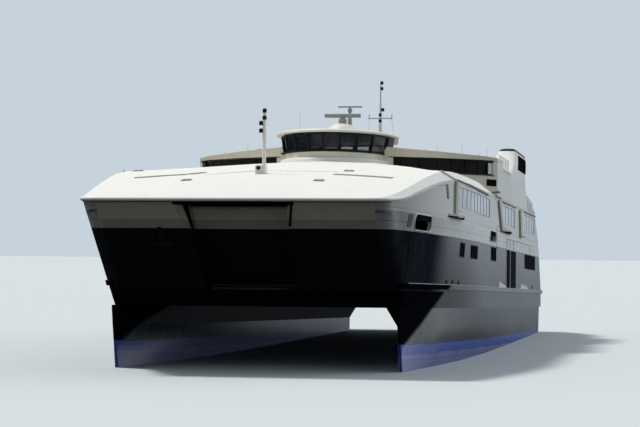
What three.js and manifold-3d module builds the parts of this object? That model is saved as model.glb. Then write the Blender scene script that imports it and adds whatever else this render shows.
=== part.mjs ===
// A fast catamaran ferry for passengers and cars, as a model at a tenth of its size.
// +X is the bow, +Y is port, +Z is up. The origin lies amidships on the waterline.
import * as THREE from 'three';
import { mergeVertices } from 'three/addons/utils/BufferGeometryUtils.js';
import Module from 'manifold-3d';

const wasm = await Module();
wasm.setup();

// Sizes are metres on the full-size ship. One of its metres is this many model millimetres.
const metre = 100;
const gap = 0.003;

// Hull
const halfBeam = 12;
const bowX = 43.3;
const sternX = -43.3;
const transomX = -41.25;
const sheerAtBow = 10.13;
const frontRake = 1.18;
const hullCentre = 9.45;
const wetDeck = 3.4;
const carDeck = 4.5;
const hullTop = 9.2;
const cabinFloor = 9.4;
const sheerHeight = 12.3;
const plating = 0.25;
const boottop = 1.08;
const railLow = 4.68;
const railHigh = 4.98;
const railDepth = 0.17;

// Superstructure
const loungeRoof = 15.3;
const aftRoof = 14.85;
const loungeEndX = -3;
const funnelFront = -11.7;
const funnelAft = -28.2;
const funnelInside = 9.6;
const cabinAft = -36.2;

const wingHalf = 12.15;

// Wheelhouse
const sill = 15.2;
const lintel = 16.6;
const bridgeFloor = 13.6;
const bridgeAft = -1.6;
const bridgeAftHalf = 2.9;
const bridgeHalf = 4.1;
const bridgeCentre = 5.4;
const bridgeReach = 6.6;
const leanOut = 0.35;

// Masts
const foremastX = 33.7;
const foremastTop = 16.5;
const mainMastX = -15.6;
const mainMastTop = 23.26;
const yardHeight = 19.95;
const yardHalf = 1.05;

// Doors and ramps
const hingeHeight = 4.75;
const bowDoorHalf = 3.1;
const bowDoorTop = 9.5;
const bowDoorSetback = 1.3;
const sternDoorTop = 8.8;
const sternDoorInner = 1.2;
const sternDoorOuter = 9.2;

const white = { color: 0xf0f0e8, roughness: 0.5, metalness: 0.0 };
const cream = { color: 0xe4dfca, roughness: 0.5, metalness: 0.0 };
const navy = { color: 0x23262f, roughness: 0.55, metalness: 0.0 };
const blue = { color: 0x4a5fa5, roughness: 0.7, metalness: 0.0 };
const grey = { color: 0x7d8387, roughness: 0.6, metalness: 0.2 };
const darkGlass = { color: 0x10151a, roughness: 0.1, metalness: 0.0 };
const steel = { color: 0x9a9da0, roughness: 0.4, metalness: 0.8 };
const black = { color: 0x15161a, roughness: 0.7, metalness: 0.0 };
const seat = { color: 0x2f3a4a, roughness: 0.8, metalness: 0.0 };

const ship = new THREE.Group();
const sides = [
  { side: 'port', sign: 1 },
  { side: 'starboard', sign: -1 },
];

// Solids

function toSolid(geometry) {
  const bare = geometry.clone();
  bare.deleteAttribute('normal');
  bare.deleteAttribute('uv');
  const merged = mergeVertices(bare, 1e-5);
  return new wasm.Manifold(new wasm.Mesh({
    numProp: 3,
    vertProperties: new Float32Array(merged.attributes.position.array),
    triVerts: new Uint32Array(merged.index.array),
  }));
}

function addPart(name, solid, look) {
  const { vertProperties, triVerts } = solid.getMesh();
  const geometry = new THREE.BufferGeometry();
  geometry.setAttribute('position', new THREE.BufferAttribute(new Float32Array(vertProperties), 3));
  geometry.setIndex(new THREE.BufferAttribute(new Uint32Array(triVerts), 1));
  geometry.scale(metre, metre, metre);
  geometry.computeVertexNormals();
  const mesh = new THREE.Mesh(geometry, new THREE.MeshStandardMaterial(look));
  mesh.name = name;
  ship.add(mesh);
}

const point = (x, y, z) => new THREE.Vector3(x, y, z);

// The ring of points, seen along the axis that it faces most.
function flatten(ring) {
  const normal = point(0, 0, 0);
  ring.forEach((a, i) => {
    const b = ring[(i + 1) % ring.length];
    normal.x += (a.y - b.y) * (a.z + b.z);
    normal.y += (a.z - b.z) * (a.x + b.x);
    normal.z += (a.x - b.x) * (a.y + b.y);
  });
  const size = { x: Math.abs(normal.x), y: Math.abs(normal.y), z: Math.abs(normal.z) };
  if (size.x >= size.y && size.x >= size.z) return ring.map((p) => new THREE.Vector2(p.y, p.z));
  if (size.y >= size.z) return ring.map((p) => new THREE.Vector2(p.z, p.x));
  return ring.map((p) => new THREE.Vector2(p.x, p.y));
}

// A closed solid through rings that have the same number of points.
function loft(rings) {
  const count = rings[0].length;
  const last = (rings.length - 1) * count;
  const index = [];
  for (let r = 0; r < last; r += count) {
    for (let i = 0; i < count; i += 1) {
      const a = r + i;
      const b = r + ((i + 1) % count);
      index.push(a, b, b + count, a, b + count, a + count);
    }
  }
  THREE.ShapeUtils.triangulateShape(flatten(rings[0]), []).forEach(([a, b, c]) => {
    const flip = loopRuns(rings[0], a, b, c);
    index.push(...(flip ? [c, b, a] : [a, b, c]));
  });
  THREE.ShapeUtils.triangulateShape(flatten(rings[rings.length - 1]), []).forEach(([a, b, c]) => {
    const flip = loopRuns(rings[rings.length - 1], a, b, c);
    index.push(...(flip ? [a, b, c] : [c, b, a]).map((i) => i + last));
  });
  const positions = rings.flat().flatMap((p) => [p.x, p.y, p.z]);
  if (volumeOf(positions, index) < 0) {
    for (let i = 0; i < index.length; i += 3) [index[i], index[i + 2]] = [index[i + 2], index[i]];
  }
  const geometry = new THREE.BufferGeometry();
  geometry.setAttribute('position', new THREE.Float32BufferAttribute(positions, 3));
  geometry.setIndex(index);
  return toSolid(geometry);
}

// True when a cap's triangle runs round the same way as its ring's own order.
function loopRuns(ring, a, b, c) {
  const order = [a, b, c].indexOf(Math.min(a, b, c));
  const turned = [a, b, c, a, b].slice(order, order + 3);
  return turned[1] < turned[2];
}

function volumeOf(positions, index) {
  const at = (i) => point(positions[3 * i], positions[3 * i + 1], positions[3 * i + 2]);
  let sum = 0;
  for (let i = 0; i < index.length; i += 3) {
    sum += at(index[i]).dot(at(index[i + 1]).cross(at(index[i + 2])));
  }
  return sum;
}

function box(x0, x1, y0, y1, z0, z1) {
  const geometry = new THREE.BoxGeometry(Math.abs(x1 - x0), Math.abs(y1 - y0), Math.abs(z1 - z0));
  geometry.translate((x0 + x1) / 2, (y0 + y1) / 2, (z0 + z1) / 2);
  return toSolid(geometry);
}

// A round bar from one point to another, with a radius at each end.
function bar(from, to, radius, endRadius = radius, segments = 12) {
  const length = from.distanceTo(to);
  const geometry = new THREE.CylinderGeometry(endRadius, radius, length, segments);
  const turn = new THREE.Quaternion().setFromUnitVectors(point(0, 1, 0), to.clone().sub(from).normalize());
  geometry.applyQuaternion(turn);
  const middle = from.clone().lerp(to, 0.5);
  geometry.translate(middle.x, middle.y, middle.z);
  return toSolid(geometry);
}

// A plan outline given as [x, y], raised from one height to another.
function slab(outline, z0, z1) {
  return loft([outline.map(([x, y]) => point(x, y, z0)), outline.map(([x, y]) => point(x, y, z1))]);
}

// A profile given as [x, z], carried across the ship from y0 to y1.
function across(profile, y0, y1) {
  return loft([profile.map(([x, z]) => point(x, y0, z)), profile.map(([x, z]) => point(x, y1, z))]);
}

const mirrored = (outline) => [...outline, ...outline.map(([x, y]) => [x, -y]).reverse()];

// Hull form

const frontX = (z) => bowX - frontRake * (sheerAtBow - z);

// The stern is upright below its knuckle, raked above it, and raked further above its knee.
const sternKnuckle = 4.94;
const sternKnee = { x: -39.7, z: 9.93 };
const sternRakeAbove = 1.5;

function sternEdge(z) {
  if (z <= sternKnuckle) return sternX;
  if (z > sternKnee.z) return sternKnee.x + (z - sternKnee.z) * sternRakeAbove;
  return THREE.MathUtils.mapLinear(z, sternKnuckle, sternKnee.z, sternX, sternKnee.x);
}

// Plan of the bow at every height, as distance aft of the raked front and half the breadth there.
const bowPlan = [
  [0, 9.1], [0.12, 9.4], [0.4, 9.65], [0.9, 9.83], [1.8, 10.02], [3, 10.22],
  [5, 10.5], [8.7, 10.9], [13, 11.3], [17.5, 11.64], [22, 11.86], [27, halfBeam],
];
const halfBow = bowPlan[0][1];

function planBreadth(aft) {
  const next = bowPlan.findIndex(([distance]) => distance >= aft);
  if (next < 0) return halfBeam;
  if (next === 0) return halfBow;
  const [d0, y0] = bowPlan[next - 1];
  const [d1, y1] = bowPlan[next];
  return y0 + ((aft - d0) / (d1 - d0)) * (y1 - y0);
}

// Half the breadth of the ship at a station and a height.
const halfBreadth = (x, z) => planBreadth(frontX(z) - x);

// Stations along the side, closer together where it curves in to the bow.
function sideStations(z, from = sternEdge(z), to = frontX(z)) {
  const curved = bowPlan.map(([distance]) => frontX(z) - distance).reverse();
  return [from, ...curved.filter((x) => x > from + 0.01 && x < to - 0.01), to];
}

// A strip of side plating seen in plan at one height, as a ring.
function sideRing(z, sign, thickness, from, to) {
  const stations = sideStations(z, from, to);
  const outer = stations.map((x) => point(x, sign * halfBreadth(x, z), z));
  const inner = stations.map((x) => point(x, sign * (halfBreadth(x, z) - thickness), z));
  return [...outer, ...inner.reverse()];
}

// Each station: x, half width at the boot-top, lower down and at the bilge, bilge height, keel height.
const hullStations = [
  { x: transomX, water: 2.5, low: 2.45, bilge: 2.15, bilgeZ: -1.0, keel: -1.3 },
  { x: -30, water: 2.5, low: 2.4, bilge: 1.9, bilgeZ: -1.6, keel: -2.0 },
  { x: -12, water: 2.5, low: 2.35, bilge: 1.7, bilgeZ: -1.9, keel: -2.5 },
  { x: 6, water: 2.45, low: 2.2, bilge: 1.4, bilgeZ: -2.0, keel: -2.5 },
  { x: 18, water: 2.1, low: 1.75, bilge: 1.0, bilgeZ: -2.0, keel: -2.5 },
  { x: 26, water: 1.5, low: 1.15, bilge: 0.62, bilgeZ: -2.0, keel: -2.5 },
  { x: 31.5, water: 0.74, low: 0.55, bilge: 0.38, bilgeZ: -2.0, keel: -2.5 },
];
const keelHalf = 0.3;
const haunch = 0.8;

function hullRing({ x, water, low, bilge, bilgeZ, keel }, sign) {
  const outline = [
    [halfBreadth(x, wetDeck) - hullCentre, wetDeck],
    [(water + halfBreadth(x, wetDeck) - hullCentre) / 2, 2.1],
    [water, boottop],
    [low, -0.6],
    [bilge, bilgeZ],
    [Math.min(keelHalf, bilge), keel],
    [-Math.min(keelHalf, bilge), keel],
    [-bilge, bilgeZ],
    [-low, -0.6],
    [-water, boottop],
    [-water, 2.1],
    [-water - haunch, wetDeck],
  ];
  return outline.map(([out, z]) => point(x, sign * (hullCentre + out), z));
}

// The stem runs forward as it rises and closes the hull to a narrow edge.
function stemRing(sign) {
  const edge = 0.12;
  const stem = [[36.2, wetDeck], [35.9, 2.1], [35.6, boottop], [35.2, -0.6], [34.5, -2.0], [33.9, -2.5]];
  const outer = stem.map(([x, z]) => point(x, sign * (hullCentre + edge), z));
  const inner = stem.map(([x, z]) => point(x, sign * (hullCentre - edge), z));
  return [...outer, ...inner.reverse()];
}

const engineRoom = { aft: -24, front: -4, half: 1.3, floor: -1.3 };
const engine = { length: 8.4, half: 0.95, height: 2.9, gap: 1.2 };

sides.forEach(({ side, sign }) => {
  const rings = [...hullStations.map((station) => hullRing(station, sign)), stemRing(sign)];
  const inside = sign * (hullCentre - engineRoom.half);
  const outside = sign * (hullCentre + engineRoom.half);
  const room = box(engineRoom.aft, engineRoom.front, inside, outside, engineRoom.floor, wetDeck + 1);
  addPart(`hull_${side}`, loft(rings).subtract(room), blue);

  const bed = engineRoom.floor + gap;
  const middle = (engineRoom.aft + engineRoom.front) / 2;
  const y0 = sign * (hullCentre - engine.half);
  const y1 = sign * (hullCentre + engine.half);
  const reach = engine.length + engine.gap / 2;
  let block = box(middle - reach, middle + reach, y0, y1, bed, bed + 0.3);
  [-reach, engine.gap / 2].forEach((start) => {
    const x = middle + start;
    block = block.add(box(x, x + engine.length, y0, y1, bed + 0.2, bed + engine.height));
  });
  addPart(`engines_${side}`, block, grey);
});

// Car deck, with its edges on the line of the ship's side

function deckOutline(z, inset, from, to) {
  const stations = sideStations(z, from, to);
  return mirrored(stations.map((x) => [x, halfBreadth(x, z) - inset]));
}

const deckRing = (z, height) => deckOutline(z, 0, sternX, frontX(z)).map(([x, y]) => point(x, y, height));
addPart('car_deck', loft([deckRing(wetDeck, wetDeck + gap), deckRing(carDeck, carDeck)]), navy);

// Hull sides above the car deck, pierced for mooring lines and light

// Openings in the hull side: x of the aft and forward ends, z of the lower and upper edges.
const sideOpenings = [
  { aft: 32.2, front: 36.8, low: 8.42, high: 9.1 },
  { aft: 0.6, front: 5.2, low: 8.6, high: 9.1 },
];

sides.forEach(({ side, sign }) => {
  const heights = [carDeck + gap, railLow, railHigh, 6.4, 8.3, hullTop - gap];
  let wall = loft(heights.map((z) => sideRing(z, sign, plating)));
  sideOpenings.forEach(({ aft, front, low, high }) => {
    const half = (high - low) / 2;
    const middle = low + half;
    const reach = [sign * 9, sign * 13];
    wall = wall.subtract(box(aft + half, front - half, ...reach, low, high));
    [aft + half, front - half].forEach((x) => {
      const end = bar(point(x, reach[0], middle), point(x, reach[1], middle), half, half, 16);
      wall = wall.subtract(end);
    });
  });
  addPart(`side_${side}`, wall, navy);
});

// Passenger deck

const recessTopHalf = 3.75;
const recessFootHalf = 3.25;
const recessWall = 0.35;
const recessDepth = bowDoorSetback + 0.35;

const passengerEdge = 0.01;
const passengerFront = frontX(hullTop) - plating - gap;
const passengerOutline = deckOutline(hullTop, passengerEdge, sternEdge(cabinFloor) + 0.1, passengerFront);
const passengerSlab = slab(passengerOutline, hullTop, cabinFloor);
const recessNotchHalf = recessTopHalf + recessWall + gap;
const recessNotchX = frontX(hullTop) - recessDepth - 0.1;
const recessNotch = box(recessNotchX, bowX, -recessNotchHalf, recessNotchHalf, carDeck, sheerAtBow);
addPart('passenger_deck', passengerSlab.subtract(recessNotch), white);

// Raked front, with a splayed recess round the bow ramp

const frontHalf = halfBow - plating - gap;
const frontTop = sheerAtBow - plating - gap;

function frontSheet(half, top, depth, start = 0) {
  const foot = carDeck + gap;
  const profile = [
    [frontX(foot) - start, foot],
    [frontX(top) - start, top],
    [frontX(top) - depth, top],
    [frontX(foot) - depth, foot],
  ];
  return across(profile, -half, half);
}

function recessRing(setback, topHalf, kneeHalf, top) {
  const foot = carDeck - 0.5;
  const knee = 8.3;
  const port = [[bowDoorHalf, foot], [kneeHalf, knee], [topHalf, top]];
  const starboard = port.map(([y, z]) => [-y, z]).reverse();
  return [...port, ...starboard].map(([y, z]) => point(frontX(z) - setback, y, z));
}

const recess = loft([
  recessRing(-0.4, recessTopHalf + 0.2, recessFootHalf + 0.05, frontTop - 0.12),
  recessRing(bowDoorSetback - 0.3, bowDoorHalf, bowDoorHalf, bowDoorTop + 0.24),
  recessRing(recessDepth + 0.6, bowDoorHalf, bowDoorHalf, bowDoorTop + 0.24),
]);
const portal = frontSheet(recessTopHalf + recessWall, frontTop, recessDepth, 0.1);
const front = frontSheet(frontHalf, frontTop, plating).add(portal).subtract(recess);
addPart('bow_front', front, navy);

// Bow ramp, hinged at its foot and closed against the rake of the front

const bowHingeX = frontX(hingeHeight) - bowDoorSetback;
const rampThickness = 0.22;
const pinRadius = 0.11;
const panelSide = 0.05;

// A ramp leaf that rises from its hinge along a direction [x, z], with its thickness on one side.
function rampLeaf(hinge, direction, inward, length, y0, y1) {
  const start = pinRadius * 0.5;
  const at = (along, deep) => [
    hinge[0] + direction[0] * along + inward[0] * deep,
    hinge[1] + direction[1] * along + inward[1] * deep,
  ];
  const profile = [at(start, 0), at(length, 0), at(length, rampThickness), at(start, rampThickness)];
  return across(profile, y0, y1);
}

const bowSlope = Math.hypot(frontRake, 1);
const bowDirection = [frontRake / bowSlope, 1 / bowSlope];
const bowInward = [-1 / bowSlope, frontRake / bowSlope];
const bowLength = (bowDoorTop - hingeHeight) * bowSlope;
const bowLeafHalf = bowDoorHalf - panelSide - 0.01;
const bowHinge = [bowHingeX, hingeHeight];
const bowPin = bar(
  point(bowHingeX, -bowDoorHalf + gap, hingeHeight),
  point(bowHingeX, bowDoorHalf - gap, hingeHeight),
  pinRadius,
);
const bowLeaf = rampLeaf(bowHinge, bowDirection, bowInward, bowLength, -bowLeafHalf, bowLeafHalf);
addPart('bow_ramp', bowLeaf.add(bowPin), white);

// Stern frame with an opening for each stern ramp

const sternTop = hullTop - gap;
const sternFoot = carDeck + gap;
const sternLeafDepth = 0.35;
const sternOuter = [sternFoot, sternKnuckle, sternTop].map((z) => [sternEdge(z), z]);
const sternInner = sternOuter.map(([x, z]) => [x + sternLeafDepth, z]).reverse();
const sternProfile = [...sternOuter, ...sternInner];
const sternHalf = halfBeam - plating - gap;
let sternWall = across(sternProfile, -sternHalf, sternHalf);
sides.forEach(({ sign }) => {
  const ends = [sign * sternDoorInner, sign * sternDoorOuter];
  const door = box(sternX - 2, sternX + 6, ...ends, wetDeck, sternDoorTop + 0.08);
  sternWall = sternWall.subtract(door);
});
addPart('stern_frame', sternWall, navy);

// Stern ramps, hinged at the car deck

const sternRun = (sternKnee.x - sternX) / (sternKnee.z - sternKnuckle);
const sternSlope = Math.hypot(sternRun, 1);
const sternDirection = [sternRun / sternSlope, 1 / sternSlope];
const sternInward = [1 / sternSlope, -sternRun / sternSlope];
const sternHinge = [sternEdge(hingeHeight) + 0.12, hingeHeight];
const sternLength = (sternDoorTop - hingeHeight) * sternSlope;

sides.forEach(({ side, sign }) => {
  const y0 = sign * (sternDoorInner + panelSide + 0.01);
  const y1 = sign * (sternDoorOuter - panelSide - 0.01);
  const leaf = rampLeaf(sternHinge, sternDirection, sternInward, sternLength, y0, y1);
  const pin = bar(
    point(sternHinge[0], sign * (sternDoorInner + gap), hingeHeight),
    point(sternHinge[0], sign * (sternDoorOuter - gap), hingeHeight),
    pinRadius,
  );
  addPart(`stern_ramp_${side}`, leaf.add(pin), white);
});

// Rubbing strakes at the level of the car deck

sides.forEach(({ side, sign }) => {
  const strip = (z) => {
    const stations = sideStations(z);
    const inner = stations.map((x) => point(x, sign * (halfBreadth(x, z) + gap), z));
    const outer = stations.map((x) => point(x, sign * (halfBreadth(x, z) + railDepth), z));
    return [...inner, ...outer.reverse()];
  };
  addPart(`rub_rail_${side}`, loft([strip(railLow), strip(railHigh)]), navy);
});

// Foredeck and its shoulders

// Each station: x, height on the centreline, height of the sheer at the side, and how far the
// shoulder above the sheer rises and lies inboard of it.
const deckStations = [
  { x: bowX, centre: sheerAtBow, sheer: sheerAtBow, rise: 0, inset: 0.1 },
  { x: 42.3, centre: 10.5, sheer: 10.18, rise: 0.13, inset: 0.2 },
  { x: 41, centre: 10.85, sheer: 10.27, rise: 0.25, inset: 0.25 },
  { x: 39.5, centre: 11.2, sheer: 10.45, rise: 0.32, inset: 0.3 },
  { x: 38, centre: 11.48, sheer: 10.7, rise: 0.36, inset: 0.35 },
  { x: 36, centre: 11.85, sheer: 11.03, rise: 0.4, inset: 0.4 },
  { x: 33.7, centre: 12.17, sheer: 11.4, rise: 0.45, inset: 0.45 },
  { x: 31, centre: 12.54, sheer: 11.78, rise: 0.52, inset: 0.5 },
  { x: 28, centre: 12.93, sheer: 12.08, rise: 0.58, inset: 0.55 },
  { x: 24, centre: 13.35, sheer: 12.25, rise: 0.62, inset: 0.65 },
  { x: 20, centre: 13.75, sheer: sheerHeight, rise: 0.67, inset: 0.75 },
  { x: 12, centre: 14.4, sheer: sheerHeight, rise: 0.83, inset: 0.95 },
  { x: 6, centre: 14.5, sheer: sheerHeight, rise: 0.9, inset: 1.05 },
  { x: 1, centre: 14.5, sheer: sheerHeight, rise: 0.9, inset: 1.1 },
];

function between(x, key) {
  const next = deckStations.findIndex((station) => station.x <= x);
  if (next < 0) return deckStations[deckStations.length - 1][key];
  if (next === 0) return deckStations[0][key];
  const a = deckStations[next - 1];
  const b = deckStations[next];
  return a[key] + ((a.x - x) / (a.x - b.x)) * (b[key] - a[key]);
}

// The deck is cambered between its shoulders.
function deckHeight(x, y) {
  const shoulder = between(x, 'sheer') + between(x, 'rise');
  const half = halfBreadth(x, between(x, 'sheer')) - between(x, 'inset');
  return shoulder + (between(x, 'centre') - shoulder) * (1 - (y / half) ** 2);
}

const deckFractions = [0, 0.35, 0.6, 0.8, 0.92, 1];

function foredeckRing({ x, sheer, inset }) {
  const half = halfBreadth(x, sheer);
  const top = deckFractions.map((f) => [f * (half - inset), deckHeight(x, f * (half - inset))]);
  top.push([half, sheer]);
  const under = top.map(([y, z]) => [Math.min(y, half), Math.max(z - plating, sheer - plating)]).reverse();
  const port = top.map(([y, z]) => point(x, y, z));
  const starboard = top.slice(1).reverse().map(([y, z]) => point(x, -y, z));
  const underPort = under.map(([y, z]) => point(x, y, z));
  const underStarboard = under.slice(0, -1).reverse().map(([y, z]) => point(x, -y, z));
  return [...starboard, ...port, ...underPort, ...underStarboard];
}

// Plan of the lounge: the front is swept back to the wings, half outline as [x, y].
const loungeFront = [[7.6, 3.8], [5.6, 8], [3.2, 11], [1.6, wingHalf]];
const grown = (outline, by) => outline.map(([x, y]) => [x + by, y]);
const along = ([x0, y0], [x1, y1], t) => [x0 + (x1 - x0) * t, y0 + (y1 - y0) * t];
const inward = (outline, by) => outline.map(([x, y]) => [x - 0.65 * by, y - 0.76 * by]);

const loungePlan = mirrored([...loungeFront, [-60, wingHalf + 1]]);
const loungeRoom = slab(grown(loungePlan, gap), 5, 30);

// Wheelhouse: a faceted curve in front, straight sides and a flat back

// Corners of the curved front, in degrees from dead ahead.
const bridgeCorners = [-90, -76, -52, -34.5, -17.2, 0, 17.2, 34.5, 52, 76, 90];

// The outline of the wheelhouse, grown outward by some amount.
function bridgeOutline(grow) {
  const curve = bridgeCorners.map((degrees) => {
    const angle = THREE.MathUtils.degToRad(degrees);
    return [
      bridgeCentre + (bridgeReach + grow) * Math.cos(angle),
      (bridgeHalf + grow) * Math.sin(angle),
    ];
  });
  const aftHalf = bridgeAftHalf + grow;
  return [...curve, [bridgeAft - grow, aftHalf], [bridgeAft - grow, -aftHalf]];
}

const bridgeRing = (grow, z) => bridgeOutline(grow).map(([x, y]) => point(x, y, z));
const baseGrow = { foot: -0.1, sill: 0.12 };
const baseFoot = sheerHeight + gap;
const bridgeClear = loft([
  bridgeRing(baseGrow.foot + gap, baseFoot),
  bridgeRing(baseGrow.sill + gap, sill),
  bridgeRing(baseGrow.sill + 0.3, sill + 1),
]);
const deckShell = loft(deckStations.map(foredeckRing));
const wedgeProfile = [[frontX(8), 8], [frontX(12), 12], [bowX + 4, 12], [bowX + 4, 8]];
const bowWedge = across(wedgeProfile, -halfBeam, halfBeam);
addPart('foredeck', deckShell.subtract(bowWedge).subtract(loungeRoom).subtract(bridgeClear), white);

// Cabin sides with their big windows and ribs

// Windows: x of the aft and forward ends, z of the lower edge aft and forward, z of the top.
const cabinWindows = [
  { aft: 5.4, front: 24.0, lowAft: 10.37, lowFront: 10.4, high: 11.82 },
  { aft: -15.2, front: -5, lowAft: 10.25, lowFront: 10.25, high: 11.82 },
  { aft: -35.4, front: -24.6, lowAft: 10.25, lowFront: 10.25, high: 11.82 },
];
// Ribs: x at the top and at the foot.
const ribs = [
  { top: 25.7, foot: 25.1 },
  { top: -1.0, foot: -3.6 },
  { top: -19.6, foot: -20.4 },
];
const ribLow = 9.62;
const ribFoot = 9.78;
const ribHalf = 0.2;
const ribOut = 0.27;
const discs = [
  { radius: 0.55, low: 9.62, high: 9.72 },
  { radius: 0.35, low: 9.86, high: 9.92 },
];

// Stations of the cabin side, raked like the bow where it is curved: x and half breadth at the foot
// and at the top.
const cabinFoot = cabinFloor + gap;
const topOf = (x) => between(x, 'sheer') - plating - gap;

function rakedStation(distance, half) {
  let top = topOf(bowX - distance);
  for (let i = 0; i < 12; i += 1) top = topOf(frontX(top) - distance);
  return { footX: frontX(cabinFoot) - distance, topX: frontX(top) - distance, top, half };
}

const sheerTop = sheerHeight - plating - gap;
const midSection = [-20, 1];
const cabinStations = [
  { footX: sternEdge(cabinFloor), topX: sternEdge(sheerHeight), top: sheerTop, half: halfBeam },
  ...midSection.map((x) => ({ footX: x, topX: x, top: sheerTop, half: halfBeam })),
  ...[...bowPlan].reverse().map(([distance, half]) => rakedStation(distance, half)),
];

function cabinRing({ footX, topX, top, half }, sign) {
  const corners = [[footX, 0, cabinFoot], [topX, 0, top], [topX, plating, top], [footX, plating, cabinFoot]];
  return corners.map(([x, depth, z]) => point(x, sign * (half - depth), z));
}

// The panes lie against the inside of the cabin side and end behind its first rib.
const paneFoot = 10.05;
const paneTop = 11.86;
const paneThickness = 0.05;

function paneRing({ footX, topX, top, half }, sign) {
  const at = (z) => THREE.MathUtils.mapLinear(z, cabinFoot, top, footX, topX);
  const out = half - plating - gap;
  const corners = [[paneFoot, 0], [paneTop, 0], [paneTop, paneThickness], [paneFoot, paneThickness]];
  return corners.map(([z, depth]) => point(at(z), sign * (out - depth), z));
}

const paneSetback = 15.5;    // distance of their forward end aft of the raked front

const paneEnds = {
  aft: { footX: -36.2, topX: -35.5, top: sheerTop, half: halfBeam },
  front: {
    footX: frontX(cabinFoot) - paneSetback,
    topX: frontX(sheerTop) - paneSetback,
    top: sheerTop,
    half: planBreadth(paneSetback),
  },
};

sides.forEach(({ side, sign }) => {
  let wall = loft(cabinStations.map((station) => cabinRing(station, sign)));
  cabinWindows.forEach(({ aft, front: ahead, lowAft, lowFront, high }) => {
    const profile = [[aft, lowAft], [ahead, lowFront], [ahead, high], [aft, high]];
    wall = wall.subtract(across(profile, sign * 11, sign * 13));
  });
  ribs.forEach(({ top, foot }) => {
    const ribTop = between(top + 0.2, 'sheer') - plating - 2 * gap;
    const middle = (x, z) => halfBreadth(x, z) - plating / 2;
    const section = [[-ribHalf, 0], [ribHalf, 0], [ribHalf, ribOut], [-ribHalf, ribOut]];
    const ribRing = (x, z) => section.map(([dx, out]) => point(x + dx, sign * (middle(x, z) + out), z));
    wall = wall.add(loft([ribRing(foot, ribLow), ribRing(foot, ribFoot), ribRing(top, ribTop)]));
    const y = halfBreadth(foot, ribFoot);
    discs.forEach(({ radius, low, high }) => {
      const disc = bar(point(foot, sign * y, low), point(foot, sign * y, high), radius, radius, 20);
      const outboard = box(foot - 1, foot + 1, sign * (y - 0.1), sign * (y + 1), low - 1, high + 1);
      wall = wall.add(disc.intersect(outboard));
    });
  });
  addPart(`cabin_side_${side}`, wall, white);

  const paneStations = [paneEnds.aft, ...cabinStations.slice(1, 6), paneEnds.front];
  const shoulder = box(26.5, bowX, sign * 8, sign * 13, 11.4, 13);
  const panes = loft(paneStations.map((station) => paneRing(station, sign))).subtract(shoulder);
  addPart(`cabin_glass_${side}`, panes, darkGlass);
});

// Deck over the cabin, with the low bulwarks of the open deck aft

const roofUnder = sheerHeight - plating;
const roofHalf = halfBeam - 0.01;
const cabinRoofAft = [[2.08, 11.8], [1.6, roofHalf], [cabinAft, roofHalf]];
const cabinRoofPlan = mirrored([...loungeFront.slice(0, 3), ...cabinRoofAft]);
const bulwark = {
  front: funnelAft - 0.1,
  aft: cabinAft + 0.3,
  foot: sheerHeight - 0.1,
  highFront: 13.3,
  highAft: 12.5,
};
const bulwarkProfile = [
  [bulwark.front, bulwark.foot],
  [bulwark.front, bulwark.highFront],
  [bulwark.aft, bulwark.highAft],
  [bulwark.aft, bulwark.foot],
];
let cabinRoof = slab(cabinRoofPlan, roofUnder, sheerHeight);
sides.forEach(({ sign }) => {
  cabinRoof = cabinRoof.add(across(bulwarkProfile, sign * (roofHalf - 0.19), sign * roofHalf));
});
addPart('cabin_roof', cabinRoof, white);

const aftWallFoot = { x: -38.6, z: cabinFloor + gap };
const aftWallTop = { x: cabinAft + 0.1, z: roofUnder - gap };
const aftWallProfile = [
  [aftWallFoot.x, aftWallFoot.z],
  [aftWallTop.x, aftWallTop.z],
  [aftWallTop.x + plating, aftWallTop.z],
  [aftWallFoot.x + plating, aftWallFoot.z],
];
const aftWallHalf = halfBeam - plating - gap - 0.06;
const aftWindow = { half: 1.4, low: 10.4, high: 11.7 };
let aftWall = across(aftWallProfile, -aftWallHalf, aftWallHalf);
[-8, -3, 3, 8].forEach((y) => {
  const hole = box(sternX, -34, y - aftWindow.half, y + aftWindow.half, aftWindow.low, aftWindow.high);
  aftWall = aftWall.subtract(hole);
});
addPart('cabin_aft_wall', aftWall, white);

// Upper lounge: a swept front with a long window, sides, and the wall aft

const wallFoot = sheerHeight + gap;
const frontTopZ = loungeRoof - plating - gap;
const windowLow = 13.9;
const windowHigh = 15;

sides.forEach(({ side, sign }) => {
  const wallPlan = [...loungeFront, ...inward(loungeFront, plating).reverse()];
  const flank = (outline) => outline.map(([x, y]) => [x, sign * y]);
  let wall = slab(flank(wallPlan), wallFoot, frontTopZ);
  const band = [[9, 4.6], [7, 8.1], [4, 11.2], [2.4, 11.9], [1.6, 11.8], [2.2, 10.4], [4.6, 7.6], [6.4, 4.6]];
  wall = wall.subtract(slab(flank(band), windowLow, windowHigh)).subtract(bridgeClear);
  addPart(`lounge_front_${side}`, wall, white);

  const [inner, knee, shoulder, wingEnd] = loungeFront;
  const paneLine = [along(inner, knee, 0.12), knee, shoulder, along(shoulder, wingEnd, 0.8)];
  const panePlan = [...inward(paneLine, plating + 0.005), ...inward(paneLine, plating + 0.055).reverse()];
  const pane = slab(flank(panePlan), windowLow - 0.2, windowHigh + 0.02);
  addPart(`lounge_glass_${side}`, pane.subtract(bridgeClear), darkGlass);

  const wingAhead = 1.34;
  const wing = box(loungeEndX, wingAhead, sign * 11.9, sign * wingHalf, wallFoot, frontTopZ);
  const flankTop = aftRoof - plating - gap;
  const upper = box(funnelFront + 0.1, loungeEndX + 0.1, sign * 11.75, sign * roofHalf, wallFoot, flankTop);
  addPart(`upper_side_${side}`, wing.add(upper), white);
});

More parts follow.
